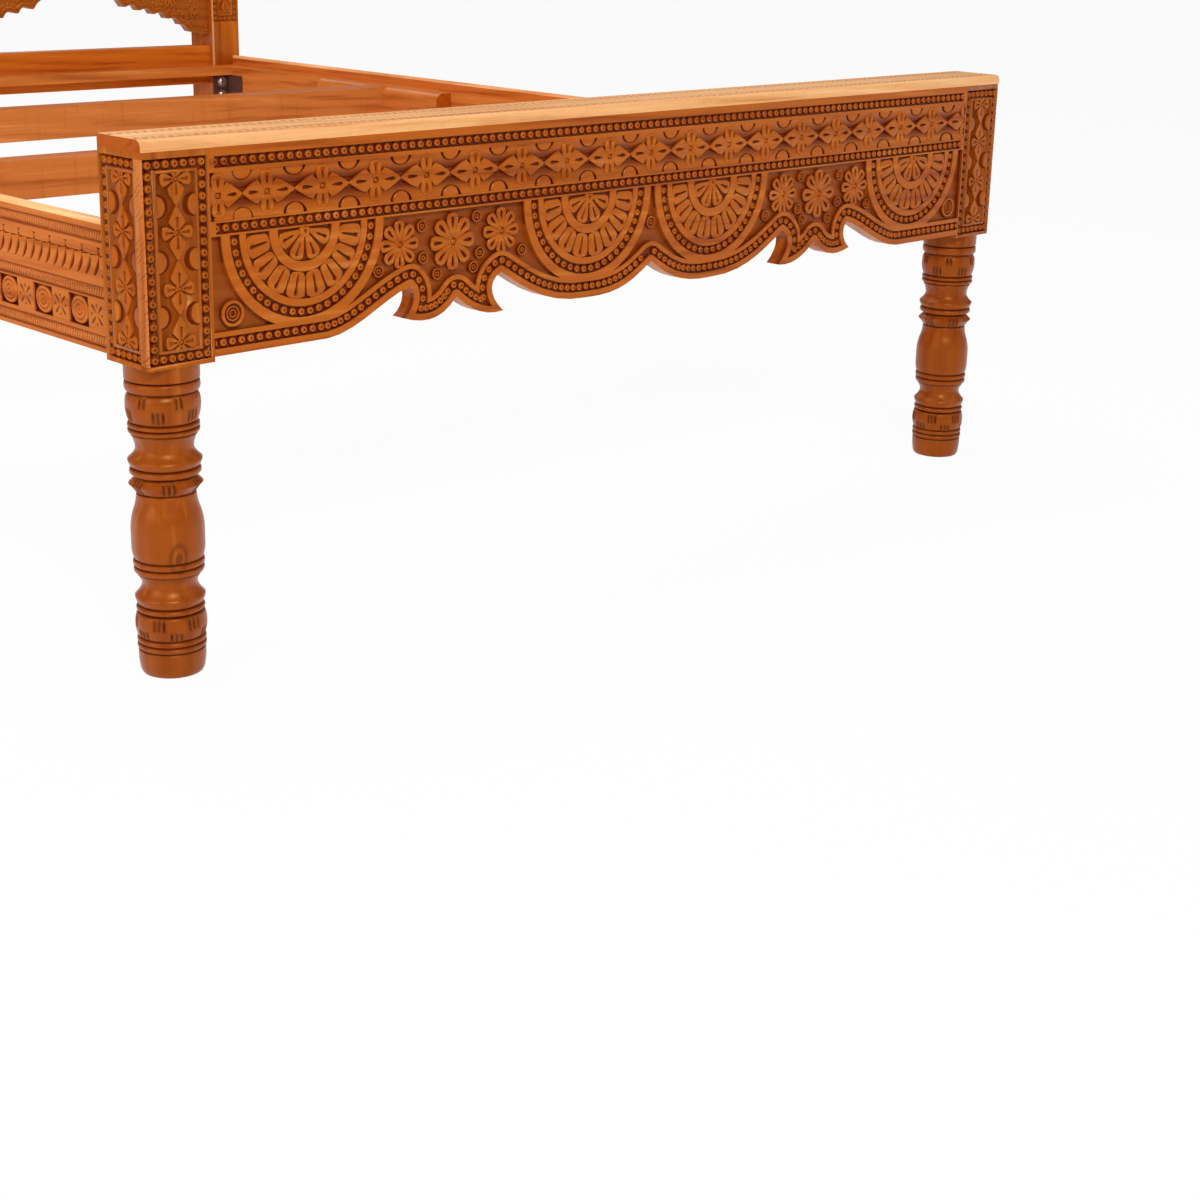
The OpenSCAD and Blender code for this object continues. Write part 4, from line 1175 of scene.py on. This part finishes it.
def worn_corner(sign, side):
    """The near corner of a foot post, worn round and nicked all the way down."""
    low, high = APRON_Z + 1, BLOCK_TOP - 8
    rows = round((high - low) / 1.3)
    loops = []
    for k in range(rows + 1):
        z = low + (high - low) * k / rows
        sway = 0.25 * math.sin(z / 17) + 0.2 * math.sin(z / 7.3 + 1)
        turn = z * math.tau / 6.1 + 1.9 * math.sin(z / 12.7) + 1.1 * math.sin(z / 5.3)
        deep = 1.3 * max(0.12, math.sin(z / 8.9 + 1) * math.sin(z / 21.0 + 2))
        nicks = [deep * max(0.0, math.sin(turn + lag)) ** 2 for lag in (0.0, 1.2, 2.4)]
        spots = (
            (X_OUT, 16.0), (X_OUT - 0.1, 9.0 + sway), (X_OUT - nicks[0], 5.6 + sway),
            (X_OUT - 1.0 - nicks[1], 2.6 + sway * 0.5), (X_OUT - 2.1 - nicks[2] * 0.6, 0.6),
            (X_OUT - 3.2, 4.0), (X_OUT - 5.0, 5.4), (X_OUT - 5.0, 16.0),
        )
        loops.append([(sign * x, Y_FRONT + y, z) for x, y in spots])
    middle = (sign * (X_OUT - 2.5), Y_FRONT + 9.0)
    mesh = wrapped("corner", plugged(loops, (*middle, low), (*middle, high)))
    mesh.transform(Matrix.Scale(MM, 4))
    piece(mesh, f"worn_corner_{side}", "worn")


class BED_OT_posts(bpy.types.Operator):
    """Turns the legs and carves the posts"""

    bl_idname = "bed.posts"
    bl_label = "Turn legs and carve posts"

    def execute(self, context):
        foot, head = POST_W / 2 - 0.5, HEAD_W / 2 - 0.5
        for place, radius in (("foot", foot), ("head", head)):
            for _, side in SIDES:
                dressed_post(f"{place}_post_{side}", radius, radius / foot, place == "foot")
        centres = (BLOCK_TOP - 220.4, BLOCK_TOP - 158, BLOCK_TOP - 93, BLOCK_TOP - 32)
        for sign, side in SIDES:
            worn_corner(sign, side)
            for part, where, middle in (
                ("front", front_face(Y_FRONT), sign * (X_IN + POST_W / 2)),
                ("outer", side_face(sign * X_OUT), sign * (Y_FRONT + POST_W / 2)),
            ):
                finish, tall, bead_h = ("post", 0.72, -5.0) if part == "front" else ("outer", 0.55, -6.0)
                edges = [middle - POST_W / 2 + 3.4, middle + POST_W / 2 - 3.4]
                columns = [True, True]
                if part == "outer":
                    near = 0 if sign > 0 else 1
                    columns[near] = False
                    edges[near] += sign * 12.4
                tail = f"{side}_{part}"
                carve_post("post", tail, where, finish, middle, POST_W, LEG_TOP, BLOCK_TOP, centres, 26.5,
                           0.84, tall, edges, bead_h, columns)
                work = Carving()
                shades(work, centres, middle, 26.5, 0.96)
                work.clip(middle - 26.3, middle + 26.3)
                work.done(f"post_shades_{tail}", where, "mark")
        return {"FINISHED"}


class BED_OT_rails(bpy.types.Operator):
    """Carves the side rails"""

    bl_idname = "bed.rails"
    bl_label = "Carve side rails"

    def execute(self, context):
        low, high = Y_FOOT_BACK, Y_HEAD
        length = high - low
        for sign, side in SIDES:
            ends = sorted((sign * low, sign * high))

            work = Carving()
            tiles = round(length / TILE_STEP)
            tile = length / tiles
            for k in range(tiles):
                u = ends[0] + tile * k
                work.put(shape("tile"), u + 0.9, RAIL_TOP - 38.6, stretch=(tile - 1.8) / TILE)
                for part in (0.25, 0.75):
                    work.put(shape(f"tongue_{side}"), u + tile * part, RAIL_TOP - 43.4, turn=-math.pi / 2)
            work.clip(RAIL_TOP - 70, RAIL_TOP - 34, axis=1)
            work.clip(ends[0] + 0.5, ends[1] - 0.5)
            work.done(f"rail_tongues_{side}", side_face(sign * (RAIL_X - 3)), "rail")

            work = Carving()
            twists = int((length - 8) / 5.6)
            for drop in (20.3, 88.8, 149.0):
                for k in range(twists):
                    u = ends[0] + 5 + (length - 14) * k / (twists - 1)
                    work.put(shape("twist"), u, RAIL_TOP - drop - 4.6, turn=math.radians(68))
            work.done(f"rail_ropes_{side}", side_face(sign * (RAIL_X - 1.5)), "rope")

            work = Carving()
            count = int((length - 46) // MEDALLION_STEP)
            first = low + (length - count * MEDALLION_STEP) / 2
            middle = RAIL_TOP - 117.5
            for k in range(count + 1):
                u = sign * (first + k * MEDALLION_STEP)
                work.put(shape("oval"), u, middle, size=1.05, stretch=1.1)
            work.done(f"rail_medallions_{side}", side_face(sign * (RAIL_X - 7)), "rail")

            # Gouge marks and dots, laid darker as painted shade of the cuts
            work = Carving()
            for k in range(count):
                u = sign * (first + (k + 0.5) * MEDALLION_STEP)
                for a in range(4):
                    turn = math.pi / 4 + a * math.pi / 2
                    work.put(shape("gouge"), u + 3 * math.cos(turn), middle + 3 * math.sin(turn), turn=turn)
                    aside = turn - 0.785
                    work.put(shape("dot"), u + 12 * math.cos(aside), middle + 12 * math.sin(aside))
            work.done(f"rail_marks_{side}", side_face(sign * RAIL_X), "gouge_shade")
        return {"FINISHED"}


def arch_edge(half, rise, steps=6):
    """Edge of an arch from its middle to its side: point, one wide and four small foils, foot."""
    share = 0.77

    def tip(u):
        return rise * (1.0 if u <= 0 else 0.18 + 0.6 * max(0.0, share - u) ** 0.75)

    def foil(u0, z0, u1, z1, deep):
        marks = [s / steps for s in range(1, steps + 1)]
        return [
            (half * (u0 + (u1 - u0) * t), z0 + (z1 - z0) * t + deep * 6.75 * t * t * (1 - t)) for t in marks
        ]

    def curve(*shares):
        return bezier(*((half * across, rise * up) for across, up in shares), steps)

    points = [(0, rise)] + curve((0, 1), (0.03, 0.84), (0.125, 0.88), (0.16, 0.67))
    points += foil(0.16, rise * 0.67, 0.33, tip(0.33), 12)
    for k in range(4):
        u0, u1 = 0.33 + 0.11 * k, 0.44 + 0.11 * k
        points += foil(u0, tip(u0), u1, tip(u1), 10)
    points += curve((share, 0.18), (0.8, 0.2), (0.815, 0.16), (0.84, 0.06))
    points += curve((0.84, 0.06), (0.88, 0.03), (0.94, 0.01), (1, 0))
    return points


class BED_OT_headboard(bpy.types.Operator):
    """Carves the headboard"""

    bl_idname = "bed.headboard"
    bl_label = "Carve headboard"

    def execute(self, context):
        bottom = box_mm("head_bottom_board")[1].z + 50
        tall = HEAD_TOP - bottom
        centres = [bottom + 24 + (tall - 52) * k / 6 for k in range(7)]
        half = (HEAD_X_IN - 36) / 2
        line = whole(arch_edge(half, 132))
        flowers = ((235, 92, 27), (300, 58, 21), (300, 128, 24), (165, 128, 22), (95, 140, 18))
        bosses = ((262, 140), (200, 142), (268, 100), (325, 92), (130, 150), (200, 104))
        for sign, side in SIDES:
            middle = sign * (HEAD_X_IN + HEAD_W / 2)
            edges = (middle - HEAD_W / 2 + 3.4, middle + HEAD_W / 2 - 3.4)
            carve_post("head_post", side, front_face(Y_HEAD), "head_post", middle, HEAD_W, bottom, HEAD_TOP,
                       centres, 17.5, 0.72, 0.72, edges)

            work = Carving()
            centre = sign * (36 + HEAD_X_IN) / 2
            work.put(ridge("rim", inset(line, 9.0), 4.6, 2.6, base=-0.6), centre, ARCH_Z)
            bead_line(work, inset(line, 17.0), 13.0, u=centre, v=ARCH_Z, h=-2.4, size=0.85)
            strew(work, flowers, {"boss": bosses}, centre, ARCH_Z, -3.2, -3.0, 0.8)
            work.clip(centre - half + 2, centre + half - 2)
            work.clip(ARCH_Z + 1, PANEL_HIGH.z - 9, axis=1)
            work.done(f"arch_carving_{side}", front_face(Y_BOARD), "panel")

        work = Carving()
        low, high = box_mm("head_mid_rail")[1].z, box_mm("head_top_rail")[0].z
        middle = (low + high) / 2
        for k in range(-4, 5):
            daisy(work, k * HEAD_FLOWER_STEP, middle, 50)
        for k in range(-5, 5):
            u = (k + 0.5) * HEAD_FLOWER_STEP
            if abs(u) < HEAD_X_IN - 30:
                for a in (45, 135, 225, 315):
                    turn = math.radians(a)
                    across, up = 9 * math.cos(turn), 9 * math.sin(turn)
                    work.put(shape("side"), u + across, middle + up, 0, turn, size=1.15)
                work.put(shape("eye"), u, middle, 0.2)
        for v in (low + 13, high - 13):
            even_line(work, (-HEAD_X_IN + 12, v), (HEAD_X_IN - 12, v), 0.6)
        work.done("upper_panel_carving", front_face(Y_BOARD + 4), "upper")

        for node in ("head_mid_rail", "head_top_rail"):
            work = Carving()
            a, b = box_mm(node)
            count = round((HEAD_X_IN - 40) / HEAD_STEP)
            row = [k * HEAD_STEP for k in range(-count - 1, count + 2)]
            chain(work, row, (a.z + b.z) / 2, False, 21.0, ("kite", "up", None), 0.78, 0.7, -2.4)
            for v in (a.z + 6.5, b.z - 6.5):
                even_line(work, (-HEAD_X_IN + 8, v), (HEAD_X_IN - 8, v), -3.4)
            work.clip(-HEAD_X_IN + 1, HEAD_X_IN - 1)
            work.done(node + "_carving", front_face(Y_BOARD), "panel")

        work = Carving()
        foot = CREST_LOW.z
        edge = whole(drawn(CREST_EDGE, 14, across=HEAD_X_IN / 718, up=CREST_HIGH.z - foot, low=foot))
        work.put(ridge("rim", inset(edge, 7.0, -1), 5.0, 2.6, base=-0.6))
        bead_line(work, inset(edge, 16.5, -1), 13.4, h=-2.4, size=0.9)
        half_circle(work, "ray", 0, foot + 4, 24, 13, -2.6, start=0)
        for radius, steps in ((20, 20), (62, 30)):
            work.put(ridge("ring", arc(0, foot + 4, radius, 0, 180, steps), 6, 2.6, base=-0.6))
        flowers = ((105, 36, 26), (168, 38, 24), (228, 30, 20), (345, 30, 20), (395, 24, 15))
        bosses = ((285, 22), (310, 30), (435, 18), (470, 13))
        strew(work, flowers, {"boss": bosses}, 0.0, foot, -3.6, -3.2, 0.8)
        work.clip(CREST_LOW.z + 0.5, CREST_HIGH.z, axis=1)
        work.done("crest_carving", front_face(CREST_LOW.y), "crest")

        work = Carving()
        a, b = box_mm("head_centre_post")
        even_line(work, (0, a.z + 60), (0, b.z - 40), -3.0, pitch=16.0, kind="boss")
        work.done("centre_post_carving", front_face(Y_HEAD), "head_post")
        return {"FINISHED"}


# Finishes of the plain pieces, by how their names start
BOARDS = (
    ("front_board", "foot_rail"),
    ("plain_x", ("foot_back_board", "foot_ledge", "head_ledge", "head_cap")),
    ("cap", "foot_cap"),
    ("rail", "side_rail"),
    ("board_x", ("head_bottom_board", "head_mid_rail", "head_top_rail", "head_crest")),
    ("arch", "arch_panel"),
    ("upper", "head_upper_panel"),
    ("beam", "cross_beam"),
    ("plain_y", "beam_"),
    ("zinc", ("bracket_bolts", "bracket_washers")),
    ("iron", "bracket"),
)


class BED_OT_boards(bpy.types.Operator):
    """Finishes the plain boards and fittings"""

    bl_idname = "bed.boards"
    bl_label = "Finish boards and fittings"

    def execute(self, context):
        for name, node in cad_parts.items():
            fits = [finish for finish, starts in BOARDS if name.startswith(starts)] + ["board_z"]
            paint(node, "end" if name.endswith(("dowels", "pegs")) else fits[0])
        return {"FINISHED"}


class BED_OT_stage(bpy.types.Operator):
    """Sets up the floor, the lamps and the camera"""

    bl_idname = "bed.stage"
    bl_label = "Set up the stage"

    def execute(self, context):
        scene = context.scene
        scene.view_settings.view_transform = "Standard"
        floor = Finish(bpy.data.materials.new("Floor"))
        path = [floor.node("ShaderNodeLightPath", out=k) for k in (0, 3, 6)]
        seen = path[0].most(path[1]).most(path[2])
        dull = floor.node("ShaderNodeBsdfDiffuse", Color=rgba(scene.bed_colours.floor))
        glow = floor.node("ShaderNodeEmission", Color=(1, 1, 1, 1), Strength=1.0)
        floor.end(floor.node("ShaderNodeMixShader", i0=seen * 0.94, i1=dull, i2=glow))
        bm = bmesh.new()
        bmesh.ops.create_grid(bm, x_segments=1, y_segments=1, size=30.0)
        ground = bpy.data.objects.new("floor", mesh_from(bm, "floor"))
        ground.data.transform(Matrix.Translation((0, 0, -0.0005)))
        ground.data.materials.append(floor.owner)
        scene.collection.objects.link(ground)

        sky = Finish(bpy.data.worlds.new("Studio"))
        scene.world = sky.owner
        strength = sky.node("ShaderNodeMix", i0=sky.node("ShaderNodeLightPath"), i2=0.22, i3=1.0)
        back = sky.node("ShaderNodeBackground", Color=(1, 1, 1, 1), Strength=strength)
        sky.end(back, "ShaderNodeOutputWorld")

        for name, power, size, spot, target in (
            ("key", 140.0, 1.2, (-2.2, -4.7, 3.5), (0.0, -1.0, 0.4)),
            ("fill", 20.0, 3.0, (3.2, -3.8, 2.2), (0.2, -1.0, 0.4)),
            ("top", 80.0, 3.0, (-0.4, 0.4, 4.2), (0.0, 0.0, 0.4)),
            ("left", 60.0, 2.4, (-4.6, -1.0, 2.0), (-0.6, -0.4, 0.4)),
            ("back", 40.0, 3.0, (1.0, 4.6, 3.0), (0.0, 0.8, 0.6)),
        ):
            lamp = bpy.data.lights.new(name, "AREA")
            lamp.energy = power
            lamp.size = size
            thing = bpy.data.objects.new(name, lamp)
            thing.location = spot
            thing.rotation_euler = (Vector(target) - Vector(spot)).to_track_quat("-Z", "Y").to_euler()
            scene.collection.objects.link(thing)

        level = math.cos(PITCH)
        ahead = Vector((math.sin(YAW) * level, math.cos(YAW) * level, -math.sin(PITCH)))
        right = Vector((math.cos(YAW), -math.sin(YAW), 0))
        up = right.cross(ahead)
        side = math.cos(ROLL) * right + math.sin(ROLL) * up
        top = -math.sin(ROLL) * right + math.cos(ROLL) * up
        camera = bpy.data.objects.new("camera", bpy.data.cameras.new("camera"))
        turn = Matrix((side, top, -ahead)).transposed().to_4x4()
        camera.matrix_world = Matrix.Translation(CAMERA_AT) @ turn
        camera.data.sensor_width = SENSOR
        camera.data.lens = FOCAL / PICTURE_WIDTH * SENSOR
        camera.data.shift_y = SHIFT_UP / PICTURE_WIDTH
        camera.data.clip_end = 100.0
        scene.collection.objects.link(camera)
        scene.camera = camera
        return {"FINISHED"}


class BED_PT_panel(bpy.types.Panel):
    """Lists the steps that dress the bed"""

    bl_idname = "BED_PT_panel"
    bl_label = "Carved Teak Bed"
    bl_space_type = "VIEW_3D"
    bl_region_type = "UI"
    bl_category = "Bed"

    def draw(self, context):
        for group in (context.scene.bed_sizes, context.scene.bed_colours):
            for name in group.bl_rna.properties.keys():
                if name not in {"rna_type", "name"}:
                    self.layout.prop(group, name)
        for step in STEPS:
            self.layout.operator(step.bl_idname)


STEPS = (BED_OT_stage, BED_OT_boards, BED_OT_front, BED_OT_posts, BED_OT_rails, BED_OT_headboard)
CLASSES = (BedSizes, BedColours) + STEPS + (BED_PT_panel,)


def register():
    for each in CLASSES:
        bpy.utils.register_class(each)
    bpy.types.Scene.bed_sizes = PointerProperty(type=BedSizes)
    bpy.types.Scene.bed_colours = PointerProperty(type=BedColours)


def unregister():
    del bpy.types.Scene.bed_sizes
    del bpy.types.Scene.bed_colours
    for each in reversed(CLASSES):
        bpy.utils.unregister_class(each)


def main():
    register()
    for step in STEPS:
        getattr(bpy.ops.bed, step.bl_idname.split(".")[1])()


if __name__ == "__main__":
    main()
